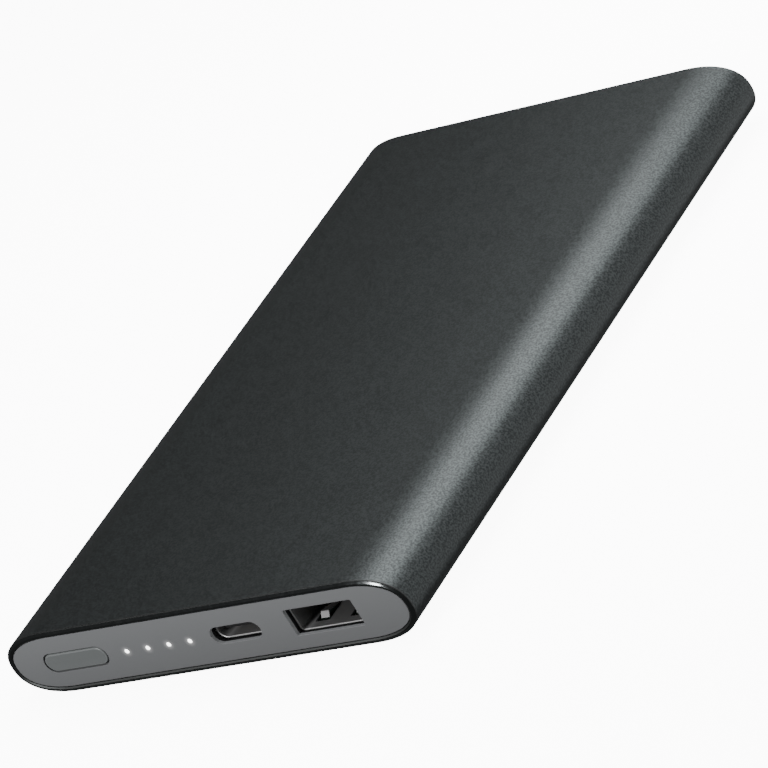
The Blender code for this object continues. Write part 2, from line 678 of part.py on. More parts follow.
def build_usb_c():
    """USB-C socket: seamless shell, tongue on its base, and the block that lifts it off the board."""
    outer = pill_outline(PORT_C_WIDTH, PORT_C_HEIGHT)
    inner = pill_outline(PORT_C_WIDTH - 2 * PORT_C_SHEET, PORT_C_HEIGHT - 2 * PORT_C_SHEET)
    rings = [(inner, 0.0), (outer, 0.0), (outer, PORT_C_LENGTH), (inner, PORT_C_LENGTH)]
    shell = add_object("usb_c_shell", lofted(rings, hollow=True), (PORT_C_X, PORT_C_FRONT, PORT_C_Z))
    dress(shell, "socket_steel")

    clearance = 2 * (PORT_C_SHEET + PORT_C_BASE_GAP)
    base_back = PORT_C_FRONT + PORT_C_LENGTH - PORT_BASE_RECESS
    base_outline = pill_outline(PORT_C_WIDTH - clearance, PORT_C_HEIGHT - clearance)
    tongue = add_object("usb_c_tongue", plate(base_outline, base_back - TONGUE_C_ROOT),
                        (PORT_C_X, TONGUE_C_ROOT, PORT_C_Z))
    blade_outline = rounded_outline(TONGUE_C_WIDTH, TONGUE_C_THICKNESS, TONGUE_C_CORNER)
    blade = add_object("blade", plate(blade_outline, TONGUE_C_ROOT - TONGUE_C_FRONT + OVERSHOOT),
                       (PORT_C_X, TONGUE_C_FRONT, PORT_C_Z))
    combine(tongue, "UNION", [blade])
    dress(tongue, "socket_plastic")

    shell_bottom = PORT_C_Z - PORT_C_HEIGHT / 2
    base_front = BOARD_FRONT + 2 * LAYER_GAP
    base_size = (PORT_C_BASE_WIDTH, base_back - base_front, shell_bottom - LAYER_GAP - COMPONENT_BOTTOM)
    add_block("usb_c_base", base_size, COMPONENT_BOTTOM, (PORT_C_X, (base_front + base_back) / 2),
              "socket_plastic")


def leaf_profile(floor_z):
    """Outline of one spring leaf in the shell's Y and Z: flat at its root, then up, and down to its tip."""
    window_back = WINDOW_FRONT + WINDOW_LENGTH
    rest = floor_z - (PORT_A_SHEET - LEAF_SHEET) / 2
    line = [
        (window_back + LEAF_ROOT[1], 0.0),
        (window_back - LEAF_ROOT[0], 0.0),
        (WINDOW_FRONT + LEAF_CREST[1], LEAF_RISE),
        (WINDOW_FRONT + LEAF_CREST[0], LEAF_RISE),
        (WINDOW_FRONT + LEAF_TIP, LEAF_TIP_RISE),
    ]
    top = [(y, rest + rise) for y, rise in line]
    bottom = [(y, z - LEAF_SHEET) for y, z in reversed(top)]
    return top + bottom


def build_usb_a():
    """USB-A socket: folded shell with two spring leaves, insulator with its tongue, and contacts."""
    width, height = PORT_A_OPENING
    inner = rounded_outline(width, height, PORT_A_CORNER - PORT_A_SHEET)
    outer = rounded_outline(width + 2 * PORT_A_SHEET, height + 2 * PORT_A_SHEET, PORT_A_CORNER)
    rings = [(inner, 0.0), (outer, 0.0), (outer, PORT_A_LENGTH), (inner, PORT_A_LENGTH)]
    shell = add_object("usb_a_shell", lofted(rings, hollow=True), (0, 0, 0))
    window_size = (WINDOW_WIDTH, WINDOW_LENGTH, 4 * PORT_A_SHEET)
    window_y = WINDOW_FRONT + WINDOW_LENGTH / 2
    wall_z = -(height + PORT_A_SHEET) / 2
    for side in (-1, 1):
        window = add_object("window", block(window_size), (side * WINDOW_X, window_y, wall_z))
        combine(shell, "DIFFERENCE", [window])
        leaf = add_object("leaf", strip(leaf_profile(-height / 2), LEAF_WIDTH),
                          (side * WINDOW_X + LEAF_SHIFT, 0, 0))
        combine(shell, "UNION", [leaf])
    shell.location = (PORT_A_X, PORT_A_FRONT, PORT_A_Z)
    dress(shell, "socket_steel")

    base_back = PORT_A_FRONT + PORT_A_LENGTH - PORT_BASE_RECESS
    base_outline = rounded_outline(width - 2 * PORT_A_BASE_GAP, height - 2 * PORT_A_BASE_GAP,
                                   PORT_A_BASE_CORNER)
    tongue = add_object("usb_a_tongue", plate(base_outline, base_back - TONGUE_A_ROOT),
                        (PORT_A_X, TONGUE_A_ROOT, PORT_A_Z))
    blade_outline = rounded_outline(TONGUE_A_WIDTH, TONGUE_A_THICKNESS, TONGUE_A_CORNER)
    blade = add_object("blade", plate(blade_outline, TONGUE_A_ROOT - TONGUE_A_FRONT + OVERSHOOT),
                       (PORT_A_X, TONGUE_A_FRONT, PORT_A_Z + TONGUE_A_LIFT))
    combine(tongue, "UNION", [blade])
    dress(tongue, "socket_plastic")

    tongue_underside = PORT_A_Z + TONGUE_A_LIFT - TONGUE_A_THICKNESS / 2
    contact_bottom = tongue_underside - LAYER_GAP - CONTACT_A_SIZE[2]
    contact_y = TONGUE_A_FRONT + CONTACT_A_RECESS + CONTACT_A_SIZE[1] / 2
    for number, offset in enumerate(CONTACT_A_X, start=1):
        add_block(f"usb_a_contact_{number}", CONTACT_A_SIZE, contact_bottom,
                  (PORT_A_X + offset, contact_y), "gold_contact")


def build_boards():
    """Main board, the small upright board for the button and lights, and the film over them."""
    board_size = (2 * BOARD_HALF_WIDTH, BOARD_BACK - BOARD_FRONT, BOARD_THICKNESS)
    board = add_object("main_board", block(board_size),
                       (0, (BOARD_FRONT + BOARD_BACK) / 2, BOARD_BOTTOM + BOARD_THICKNESS / 2))
    notch_size = (BOARD_HALF_WIDTH + OVERSHOOT, BOARD_NOTCH_BACK - BOARD_FRONT + OVERSHOOT,
                  3 * BOARD_THICKNESS)
    notch = add_object("notch", block(notch_size),
                       (SMALL_BOARD_X[1] + OVERSHOOT - notch_size[0] / 2,
                        BOARD_NOTCH_BACK - notch_size[1] / 2, BOARD_BOTTOM + BOARD_THICKNESS / 2))
    combine(board, "DIFFERENCE", [notch])
    dress(board, "board_laminate")

    spans = (SMALL_BOARD_X, SMALL_BOARD_Y, SMALL_BOARD_Z)
    small_size = tuple(high - low for low, high in spans)
    middle = (sum(SMALL_BOARD_X) / 2, sum(SMALL_BOARD_Y) / 2)
    add_block("button_led_board", small_size, SMALL_BOARD_Z[0], middle, "board_laminate")

    film_y = BOARD_BACK - INSULATION_SIZE[1] / 2
    add_block("insulation_sheet", INSULATION_SIZE, SLEEVE_CEILING - INSULATION_DROP, (0, film_y),
              "insulation_film")


def build_components():
    """The parts that stand on the main board: name, size and middle in millimetres, and finish."""
    components = (
        ("power_inductor", (6.8, 6.8, 3.2), (-8.0, -46.0), "ferrite", 0.5),
        ("charge_controller", (5.0, 5.0, 0.9), (-20.0, -47.0), "chip_epoxy", 0.1),
        ("boost_converter", (4.0, 4.0, 0.9), (3.0, -44.0), "chip_epoxy", 0.1),
        ("protection_chip", (5.0, 4.0, 1.5), (-27.0, -43.0), "chip_epoxy", 0.15),
        ("output_capacitor_1", (3.5, 2.8, 1.9), (10.5, -47.0), "capacitor_epoxy", 0.15),
        ("output_capacitor_2", (3.5, 2.8, 1.9), (10.5, -42.5), "capacitor_epoxy", 0.15),
        ("temperature_sensor", (1.6, 0.8, 0.8), (27.0, -42.0), "chip_epoxy", 0.08),
    )
    for name, size, middle, finish_name, edge in components:
        add_block(name, [length * MM for length in size], COMPONENT_BOTTOM,
                  [place * MM for place in middle], finish_name, edge * MM)


def build_battery():
    """Tray, two flat cells side by side with their foam pads and tabs, and the foam behind them."""
    tray_size = (2 * TRAY_HALF_WIDTH, TRAY_BACK - TRAY_FRONT, TRAY_TOP - TRAY_BOTTOM)
    tray = add_object("cell_tray", block(tray_size),
                      (0, (TRAY_FRONT + TRAY_BACK) / 2, (TRAY_BOTTOM + TRAY_TOP) / 2))
    floor_top = TRAY_BOTTOM + TRAY_FLOOR
    cut_height = TRAY_TOP - floor_top + OVERSHOOT
    cut_z = floor_top + cut_height / 2
    shelf_length = TRAY_WALL_FRONT - TRAY_FRONT + OVERSHOOT
    shelf = add_object("shelf", block((2 * TRAY_HALF_WIDTH + 2 * OVERSHOOT, shelf_length, cut_height)),
                       (0, TRAY_WALL_FRONT - shelf_length / 2, cut_z))
    bays = [
        add_object("bay", block((BAY_WIDTH, BAY_Y[1] - BAY_Y[0], cut_height)),
                   (side * CELL_X, sum(BAY_Y) / 2, cut_z))
        for side in (-1, 1)
    ]
    combine(tray, "DIFFERENCE", [shelf] + bays)
    dress(tray, "tray_plastic")

    cell_y = CELL_FRONT + CELL_SIZE[1] / 2
    foam_size = (CELL_SIZE[0] - 2.4 * MM, CELL_SIZE[1] - 4.0 * MM, FOAM_THICKNESS)
    foam_bottom = CELL_BOTTOM + CELL_SIZE[2] + 0.1 * MM
    for side, word in ((-1, "left"), (1, "right")):
        middle = (side * CELL_X, cell_y)
        add_block(f"battery_cell_{word}", CELL_SIZE, CELL_BOTTOM, middle, "cell_foil", CELL_EDGE)
        add_block(f"foam_pad_{word}", foam_size, foam_bottom, middle, "foam")

    tab_front = CELL_FRONT - 0.1 * MM
    tab_profile = [
        (tab_front, TAB_Z),
        (tab_front, TAB_Z + TAB_SHEET),
        (TAB_BACK, TAB_Z + TAB_SHEET),
        (TAB_BACK, COMPONENT_BOTTOM),
        (TAB_BACK + TAB_SHEET, COMPONENT_BOTTOM),
        (TAB_BACK + TAB_SHEET, TAB_Z),
    ]
    tab_places = [side * CELL_X + spread * TAB_SPREAD for side in (-1, 1) for spread in (-1, 1)]
    for number, x in enumerate(tab_places, start=1):
        tab = add_object(f"cell_tab_{number}", strip(tab_profile, TAB_WIDTH), (x, 0, 0))
        dress(tab, "nickel")

    add_block("end_foam", END_FOAM_SIZE, MIDDLE_Z - END_FOAM_SIZE[2] / 2,
              (0, END_FOAM_Y + END_FOAM_SIZE[1] / 2), "foam")


clear_scene()
build_sleeve()
build_front_panel()
build_front_adhesive()
build_front_carrier()
build_rear_end()
build_screws()
build_button()
build_switch()
build_lights()
build_usb_c()
build_usb_a()
build_boards()
build_components()
build_battery()
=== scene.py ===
"""Looks of a slim power bank: a blasted aluminium sleeve, its grey end panels, sockets, button and lights.

Laid out as an add-on and run as a script. Metres, +Z up, with the socket face looking along -Y.
"""

import math

import bmesh
import bpy
from bpy.props import (
    FloatProperty,
    FloatVectorProperty,
    IntProperty,
    PointerProperty,
)
from mathutils import Euler, Matrix, Vector


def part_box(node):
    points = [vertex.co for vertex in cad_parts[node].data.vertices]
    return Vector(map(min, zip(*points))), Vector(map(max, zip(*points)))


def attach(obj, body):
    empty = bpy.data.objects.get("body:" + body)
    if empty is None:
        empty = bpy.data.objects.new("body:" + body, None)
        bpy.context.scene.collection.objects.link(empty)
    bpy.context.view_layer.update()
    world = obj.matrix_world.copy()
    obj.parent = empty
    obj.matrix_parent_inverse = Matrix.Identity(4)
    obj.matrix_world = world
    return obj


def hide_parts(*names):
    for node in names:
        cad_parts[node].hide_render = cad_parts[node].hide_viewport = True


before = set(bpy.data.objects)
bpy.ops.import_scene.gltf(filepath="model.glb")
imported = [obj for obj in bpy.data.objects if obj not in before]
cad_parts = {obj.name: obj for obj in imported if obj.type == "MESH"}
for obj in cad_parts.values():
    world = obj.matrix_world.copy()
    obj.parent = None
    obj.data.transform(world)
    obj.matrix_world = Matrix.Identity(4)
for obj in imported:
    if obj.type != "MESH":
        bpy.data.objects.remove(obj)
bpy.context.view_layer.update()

bl_info = {
    "name": "Power Bank Looks",
    "version": (1, 0, 0),
    "blender": (4, 5, 0),
    "location": "View3D > Sidebar > Power Bank",
    "description": "Builds the visible pieces, finishes and studio of a slim power bank",
    "category": "Object",
}

MM = 0.001
MERGE = 1e-7

# Grain and relief of the satin plastics, and how far apart the cutter's lines are
SATIN_GRAIN = 0.1 * MM
SATIN_RELIEF = 0.0015 * MM
CUTTER_LINES = 0.05 * MM

# Small sizes of the pieces, and the share of each pad's thickness that is sunk in its tongue
CREST_RADIUS = 0.03 * MM
FLANGE_PLAY = 0.1 * MM
PUSHER_CORNER = 0.2 * MM
BAR_EDGE = 0.15 * MM
STUB_CORNER = 0.2 * MM
STUB_OVERLAP = 0.2 * MM
LIP_RADIUS = 0.13 * MM
BLADE_OVERLAP = 0.5 * MM
BLADE_C_CORNER = 0.2 * MM
BLADE_C_EDGE = 0.1 * MM
BLADE_A_CORNER = 0.3 * MM
BLADE_A_EDGE = 0.25 * MM
BLOCK_A_CORNER = 0.25 * MM
PAD_RECESS = 0.6 * MM
PAD_LENGTH = 2.6 * MM
PAD_THICKNESS = 0.04 * MM
PAD_SUNK = 0.1

# How far beside the shells, and above and below the middle, the openings' walls are looked for
OPENING_MARGIN = MM
OPENING_REACH = 3 * MM

# A spring leaf's bends: the root's from its window's back end, the others from the front end
LEAF_ROOT_GRIP = 0.4 * MM
LEAF_ROOT_FLAT = 1.6 * MM
LEAF_CREST_BACK = 1.3 * MM
LEAF_CREST_FRONT = 1.1 * MM
LEAF_TIP = 0.5 * MM
LEAF_TIP_RISE = 0.1 * MM
LEAF_CREASE = 0.09 * MM

# Where a painted highlight streak lies on the sockets' steel: a line beside the left wall that leans with
# depth; then how deep the painted shade inside reaches, and how the lip keeps its colour
PAINTED_STREAK_PLACE = 1.4 * MM
PAINTED_STREAK_WIDTH = 1.3 * MM
PAINTED_STREAK_LEAN = 0.22
PAINTED_SHADE_DEPTH = 8 * MM
LIP_DEPTH = (0.15 * MM, 0.35 * MM)
LIP_TONE = 0.75

# Boxes of the packed pieces that the new ones take the place of
SLEEVE_LOW, SLEEVE_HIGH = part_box("casing_sleeve")
PANEL_LOW, PANEL_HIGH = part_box("front_panel")
REAR_LOW, REAR_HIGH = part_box("rear_panel")
BUTTON_LOW, BUTTON_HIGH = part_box("power_button")
GUIDE_LOW, GUIDE_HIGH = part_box("light_guide")
SHELL_A_LOW, SHELL_A_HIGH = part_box("usb_a_shell")
SHELL_C_LOW, SHELL_C_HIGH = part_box("usb_c_shell")
TONGUE_A_LOW, TONGUE_A_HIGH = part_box("usb_a_tongue")
TONGUE_C_LOW, TONGUE_C_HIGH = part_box("usb_c_tongue")
MIDDLE = (SLEEVE_LOW + SLEEVE_HIGH) / 2
LIGHTS_MIDDLE = (GUIDE_LOW + GUIDE_HIGH) / 2


# Settings


def length(name, default, description):
    """A length that a user may change."""
    return FloatProperty(name=name, description=description, default=default, unit="LENGTH", precision=5)


def colour(name, default, description):
    """A colour that a user may change."""
    return FloatVectorProperty(name=name, description=description, default=default, size=3,
                               subtype="COLOR", min=0.0, max=1.0)


def share(name, default, description):
    """A number from nought to one that a user may change."""
    return FloatProperty(name=name, description=description, default=default, min=0.0, max=1.0,
                         subtype="FACTOR")


class SleeveSettings(bpy.types.PropertyGroup):
    """Sizes and finish of the aluminium sleeve."""

    side_depth: length("Side depth", 9.8 * MM, "How far in the rounded side starts")
    side_exponent: FloatProperty(name="Side exponent", description="Fullness of the rounded side",
                                 default=2.32, min=1.5, max=6.0)
    segments: IntProperty(name="Segments", description="Facets round the outline", default=200, min=32)
    wall: length("Wall", 0.95 * MM, "Thickness of the extrusion")
    bevel_inset: length("Bevel inset", 0.5 * MM, "Width of the cut bevel, seen from the front")
    bevel_depth: length("Bevel depth", 0.3 * MM, "How far back the cut bevel goes")
    chamfer_inset: length("Chamfer inset", 0.25 * MM, "Width of the inner chamfer")
    chamfer_depth: length("Chamfer depth", 0.15 * MM, "Depth of the inner chamfer")
    edge_radius: length("Edge radius", 0.12 * MM, "Softness of the bevel's outer edge")
    rail_inner: length("Rail inner side", 32.4 * MM, "Where each screw rail starts")
    rail_outer: length("Rail outer side", 36.8 * MM, "Where each screw rail meets the wall")
    rail_height: length("Rail height", 3.2 * MM, "Height of each screw rail")
    rail_start: length("Rail start", 58.05 * MM, "Distance of each rail's end from the middle")
    pilot_radius: length("Pilot radius", 0.95 * MM, "Radius of the screws' pilot holes")
    pilot_length: length("Pilot length", 6.2 * MM, "Depth of the screws' pilot holes")
    pilot_x: length("Pilot place", 34.0 * MM, "Distance of the pilot holes from the middle")
    metal: colour("Metal", (0.0346, 0.0388, 0.0393), "Reflection of the anodised skin")
    roughness: share("Roughness", 0.44, "Roughness of the blasted skin")
    cut_metal: colour("Cut metal", (0.074, 0.079, 0.080), "Reflection of the diamond-cut bevel")
    cut_roughness: share("Cut roughness", 0.14, "Roughness of the diamond-cut bevel")
    edge_metal: colour("Edge metal", (0.050, 0.052, 0.052), "Reflection of the broken edges")
    edge_roughness: share("Edge roughness", 0.5, "Roughness of the broken edges")


class PanelSettings(bpy.types.PropertyGroup):
    """Sizes and finish of the end panels and the button."""

    edge_radius: length("Edge radius", 0.06 * MM, "Softness of the panels' edges")
    button_width: length("Button width", 11.7 * MM, "Width of the button's face")
    button_height: length("Button height", 3.05 * MM, "Height of the button's face")
    button_gap: length("Button gap", 0.22 * MM, "Gap all round the button")
    button_rim: length("Button rim", 0.24 * MM, "Rounding of the button's rim")
    flange_thickness: length("Flange thickness", 0.6 * MM, "Thickness of the flange behind the panel")
    pusher_side: length("Pusher side", 2.4 * MM, "Width of the pusher behind the flange")
    port_c_width: length("Small opening width", 9.1 * MM, "Width of the small socket's opening")
    port_c_height: length("Small opening height", 3.0 * MM, "Height of the small socket's opening")
    port_a_width: length("Large opening width", 12.3 * MM, "Width of the large socket's opening")
    port_a_height: length("Large opening height", 4.6 * MM, "Height of the large socket's opening")
    port_a_corner: length("Large opening corner", 0.25 * MM, "Corner radius of that opening")
    wall_depth: length("Wall depth", 0.6 * MM, "Depth of the pale part of the sockets' openings")
    plastic: colour("Plastic", (0.181, 0.185, 0.191), "Colour of the panels")
    button: colour("Button", (0.152, 0.161, 0.162), "Colour of the button")


class LightSettings(bpy.types.PropertyGroup):
    """Sizes and glow of the charge lights."""

    count: IntProperty(name="Count", description="Number of charge lights", default=4, min=1)
    pitch: length("Pitch", 4.0 * MM, "Distance between two lights")
    radius: length("Radius", 0.34 * MM, "Radius of each light's tip")
    gap: length("Gap", 0.05 * MM, "Gap round each tip")
    stub_side: length("Stub side", 0.9 * MM, "Width of each stub that faces its LED")
    guide_front: length("Bar front", 57.9 * MM, "Distance of the bar's front from the middle")
    guide_thickness: length("Bar thickness", 1.0 * MM, "Thickness of the bar behind the panel")
    glow: colour("Glow", (1.0, 0.99, 0.97), "Colour of the light")
    strength: FloatProperty(name="Strength", description="Brightness of each tip", default=5.0, min=0.0)
    # Brightness of the painted glow on the panel round each tip
    painted_halo: FloatProperty(name="Halo", description="Brightness of the glow round each tip", default=0.3,
                        min=0.0)


class SocketSettings(bpy.types.PropertyGroup):
    """Sizes and finish of the two sockets."""

    sheet: length("Sheet", 0.3 * MM, "Thickness of both shells")
    shell_a_corner: length("Large shell corner", 0.6 * MM, "Outer corner radius of the large shell")
    window_x: length("Window place", 3.2 * MM, "Distance of each window from the socket's middle")
    window_width: length("Window width", 2.7 * MM, "Width of each window")
    window_front: length("Window front", 1.4 * MM, "Depth at which each window starts")
    window_length: length("Window length", 6.0 * MM, "Length of each window")
    leaf_width: length("Leaf width", 1.45 * MM, "Width of each spring leaf")
    leaf_shift: length("Leaf shift", 0.3 * MM, "How far each leaf stands beside its window's middle")
    leaf_sheet: length("Leaf sheet", 0.2 * MM, "Thickness of each spring leaf")
    leaf_rise: length("Leaf rise", 0.9 * MM, "How far each leaf stands up from the floor")
    blade_a_thickness: length("Large tongue", 1.8 * MM, "Thickness of the large socket's tongue")
    blade_a_lift: length("Large tongue lift", 1.05 * MM, "Height of that tongue above the middle")
    blade_a_root: length("Large tongue root", 49.8 * MM, "Where that tongue starts from its block")
    blade_a_width: length("Large tongue width", 11.1 * MM, "Width of that tongue")
    blade_c_width: length("Small tongue width", 6.69 * MM, "Width of the small socket's tongue")
    blade_c_thickness: length("Small tongue", 0.7 * MM, "Thickness of the small socket's tongue")
    blade_c_root: length("Small tongue root", 55.5 * MM, "Where that tongue starts from its block")
    pad_pitch: length("Pad pitch", 0.5 * MM, "Distance between two contact pads")
    pad_count: IntProperty(name="Pad count", description="Contact pads on each side", default=12, min=2)
    steel: colour("Steel", (0.62, 0.62, 0.625), "Reflection of the shells")
    roughness: share("Roughness", 0.40, "Roughness of the shells")


class StudioSettings(bpy.types.PropertyGroup):
    """Camera, floor and lights."""

    lens: FloatProperty(name="Lens", description="Focal length", default=256.66, unit="CAMERA")
    camera_place: FloatVectorProperty(name="Camera place", description="Where the camera stands", size=3,
                                      default=(0.50369, -0.542457, 0.332317), subtype="TRANSLATION")
    camera_turn: FloatVectorProperty(name="Camera turn", description="How the camera is turned", size=3,
                                     default=tuple(math.radians(a) for a in (62.451, 28.850, 28.887)),
                                     subtype="EULER")
    floor_size: length("Floor size", 6.0, "Width of the floor")
    floor_glow: FloatProperty(name="Floor glow", description="Paleness of the floor", default=10.0)
    sky: share("Sky", 0.2, "Brightness of the room above the object")
    ground: share("Ground", 0.14, "Brightness of the room below the object")


GROUPS = {
    "powerbank_sleeve": SleeveSettings,
    "powerbank_panel": PanelSettings,
    "powerbank_lights": LightSettings,
    "powerbank_sockets": SocketSettings,
    "powerbank_studio": StudioSettings,
}


# Shader nodes


class Value:
    """A shader socket that arithmetic works on: each operation adds its Math node."""

    def __init__(self, nodes, socket):
        self.nodes = nodes
        self.socket = socket

    def math(self, operation, *values):
        return self.nodes.add("ShaderNodeMath", {"operation": operation}, values)

    def __add__(self, other):
        return self.math("ADD", self, other)

    def __radd__(self, other):
        return self.math("ADD", other, self)

    def __sub__(self, other):
        return self.math("SUBTRACT", self, other)

    def __rsub__(self, other):
        return self.math("SUBTRACT", other, self)

    def __mul__(self, other):
        return self.math("MULTIPLY", self, other)

    def __truediv__(self, other):
        return self.math("DIVIDE", self, other)

    def __pow__(self, other):
        return self.math("POWER", self, other)

    def size(self):
        return self.math("ABSOLUTE", self)

    def whole(self):
        return self.math("ROUND", self)

    def least(self, other):
        return self.math("MINIMUM", self, other)

    def most(self, other):
        return self.math("MAXIMUM", self, other)

    def between(self, low, high):
        """How far the value has come from low to high, kept from nought to one."""
        return self.nodes.add("ShaderNodeMapRange", {"clamp": True}, (self, low, high, 0.0, 1.0))


class Finish:
    """A new procedural material, its Principled shader and the nodes that feed it."""

    def __init__(self, name, **constants):
        self.material = bpy.data.materials.new(name)
        self.material.use_nodes = True
        self.tree = self.material.node_tree
        self.shader = self.tree.nodes["Principled BSDF"]
        for socket, value in constants.items():
            self.feed(socket, value)

    def add(self, kind, settings=None, values=(), output=0):
        """A node of a kind, with its settings, then its sockets' values or links by place or by name."""
        node = self.tree.nodes.new(kind)
        for key, setting in (settings or {}).items():
            setattr(node, key, setting)
        pairs = values.items() if isinstance(values, dict) else enumerate(values)
        for key, value in pairs:
            self.fill(node.inputs[key], value)
        return Value(self, node.outputs[output])

    def fill(self, socket, value):
        """Link a value to a socket, or set the socket's own number or colour."""
        if isinstance(value, Value):
            self.tree.links.new(value.socket, socket)
        elif socket.type == "RGBA" and len(value) == 3:
            socket.default_value = (*value, 1.0)
        else:
            socket.default_value = value

    def feed(self, socket, value):
        """Set or link one of the shader's own sockets, named with _ for each space."""
        self.fill(self.shader.inputs[socket.replace("_", " ")], value)

    def place(self):
        """The object's own coordinates, in metres."""
        return self.add("ShaderNodeTexCoord", output="Object")

    def axis(self, place, output):
        """One of a place's X, Y and Z."""
        return self.add("ShaderNodeSeparateXYZ", values=(place,), output=output)

    def stretched(self, place, scale):
        """The place stretched by a scale, for grain that runs one way."""
        return self.add("ShaderNodeMapping", {"vector_type": "POINT"}, {"Vector": place, "Scale": scale})

    def noise(self, place, size, detail=2.0, roughness=0.5):
        """Soft noise whose lumps are about as wide as size."""
        return self.add("ShaderNodeTexNoise", values={
            "Vector": place, "Scale": 1.0 / size, "Detail": detail, "Roughness": roughness})

    def blend(self, amount, first, second):
        """A colour between two, by an amount from nought to one."""
        return self.add("ShaderNodeMix", {"data_type": "RGBA"}, {0: amount, 6: first, 7: second}, output=2)

    def bump(self, height, distance, strength=1.0):
        """A surface raised by a height of nought to one times a distance."""
        return self.add("ShaderNodeBump", values={
            "Height": height, "Distance": distance, "Strength": strength})


def scaled(shade, factor):
    """A colour made lighter or darker."""
    return tuple(channel * factor for channel in shade)


def moulded(name, shade, roughness=0.5, grain=0.12 * MM, depth=0.004 * MM, spread=0.05):
    """Moulded plastic, rubber, ceramic or tape: a fine grain in its colour, gloss and surface."""
    finish = Finish(name, Metallic=0.0)
    place = finish.place()
    speckle = finish.noise(place, grain, 3.0)
    cloud = finish.noise(place, 40 * grain, 2.0)
    tone = (speckle * 0.6 + cloud * 0.4).between(0.3, 0.7)
    finish.feed("Base_Color", finish.blend(tone, scaled(shade, 1 - spread), scaled(shade, 1 + spread)))
    finish.feed("Roughness", roughness + (cloud - 0.5) * 0.12)
    finish.feed("Normal", finish.bump(speckle, depth))
    return finish


def drawn(name, shade, roughness=0.28, stretch=(1.0, 0.06, 1.0), grain=0.08 * MM, spread=0.1):
    """Rolled or drawn metal: fine lines that run along one way, and a few duller patches."""
    finish = Finish(name, Metallic=1.0)
    place = finish.place()
    lines = finish.noise(finish.stretched(place, stretch), grain, 2.0)
    cloud = finish.noise(place, 18 * grain, 2.0)
    tone = (lines * 0.5 + cloud * 0.5).between(0.3, 0.7)
    finish.feed("Base_Color", finish.blend(tone, scaled(shade, 1 - spread), scaled(shade, 1 + spread)))
    finish.feed("Roughness", roughness + (cloud - 0.5) * 0.15 + (lines - 0.5) * 0.08)
    finish.feed("Normal", finish.bump(lines, 0.002 * MM))
    return finish


def blasted_metal(settings):
    """Bead-blasted and anodised aluminium: dimples a third of a millimetre wide, under a dark dye."""
    finish = Finish("blasted_aluminium", Metallic=1.0)
    place = finish.place()
    dimples = finish.noise(place, 0.3 * MM, 2.0, 0.6)
    cloud = finish.noise(place, 6.0 * MM, 2.0)
    shade = tuple(settings.metal)
    tone = (dimples * 0.97 + cloud * 0.03).between(0.40, 0.60)
    finish.feed("Base_Color", finish.blend(tone, scaled(shade, 0.64), scaled(shade, 1.36)))
    finish.feed("Roughness", settings.roughness + (dimples - 0.5) * 0.14 + (cloud - 0.5) * 0.03)
    finish.feed("Normal", finish.bump(dimples, 0.008 * MM))
    return finish.material


def cut_metal(settings):
    """Diamond-cut aluminium of the bevel: bright, with the faint lines of the cutter."""
    return drawn("cut_aluminium", tuple(settings.cut_metal), settings.cut_roughness, (0.1, 1.0, 0.1),
                 CUTTER_LINES, 0.06).material


def edge_metal(settings):
    """Aluminium of the broken edges: paler and duller than the bevel between them."""
    return drawn("edge_aluminium", tuple(settings.edge_metal), settings.edge_roughness, (0.3, 1.0, 0.3),
                 CUTTER_LINES, 0.06).material


def panel_plastic(settings, lights):
    """Satin grey plastic with painted shade, a little darker at the bottom and lighter towards its top,
    and a faint painted glow round each light.
    """
    finish = moulded("satin_plastic", tuple(settings.plastic), 0.46, SATIN_GRAIN, SATIN_RELIEF, 0.02)
    place = finish.place()
    # Painted shade: the plastic's colour runs from darker at the bottom to lighter at the top, as if lit
    # from above.
    rise = finish.axis(place, "Z").between(PANEL_LOW.z, PANEL_HIGH.z)
    shade = tuple(settings.plastic)
    speckle = finish.noise(place, SATIN_GRAIN, 2.0)
    tone = (rise + (speckle - 0.5) * 0.1).most(0.0).least(1.0)
    finish.feed("Base_Color", finish.blend(tone, scaled(shade, 0.84), scaled(shade, 1.12)))
    # Painted glow: emission on the panel round each light, fading out by about 3.6 tip radii, standing in
    # for light scattered from the tips.
    first = LIGHTS_MIDDLE.x - lights.pitch * (lights.count - 1) / 2
    across = finish.axis(place, "X") - first
    across = across.most(0.0).least(lights.pitch * (lights.count - 1))
    nearest = (across / lights.pitch).whole()
    sideways = finish.axis(place, "X") - first - nearest * lights.pitch
    upwards = finish.axis(place, "Z") - LIGHTS_MIDDLE.z
    away = ((sideways * sideways + upwards * upwards) ** 0.5) / lights.radius
    glow = (1.0 - away.between(0.9, 3.6)) ** 2.5
    finish.feed("Emission_Color", finish.blend(glow, (0.0, 0.0, 0.0), tuple(lights.glow)))
    finish.feed("Emission_Strength", lights.painted_halo)
    return finish.material


def socket_steel(name, settings, low):
    """Plated sheet steel with painted shade that darkens it deep inside, and a painted highlight streak
    beside its left wall.
    """
    finish = drawn(name, tuple(settings.steel), settings.roughness)
    place = finish.place()
    shade = tuple(settings.steel)
    depth = finish.axis(place, "Y") - low.y
    # Painted highlight: a lighter streak beside the left wall, leaning with depth.
    away = (finish.axis(place, "X") - (low.x + PAINTED_STREAK_PLACE) - depth * PAINTED_STREAK_LEAN).size()
    painted_streak = (1.0 - away.between(0.0, PAINTED_STREAK_WIDTH)) ** 1.5
    # Painted shade: the steel darkens deeper inside; near the front lip it keeps at least LIP_TONE of its
    # colour.
    tone = (0.5 + painted_streak * 0.5) * (1.0 - depth.between(0.0, PAINTED_SHADE_DEPTH) * 0.6)
    tone = tone.most(LIP_TONE - depth.between(*LIP_DEPTH))
    finish.feed("Base_Color", finish.blend(tone, scaled(shade, 0.1), shade))
    finish.feed("Metallic", 0.7)
    return finish.material


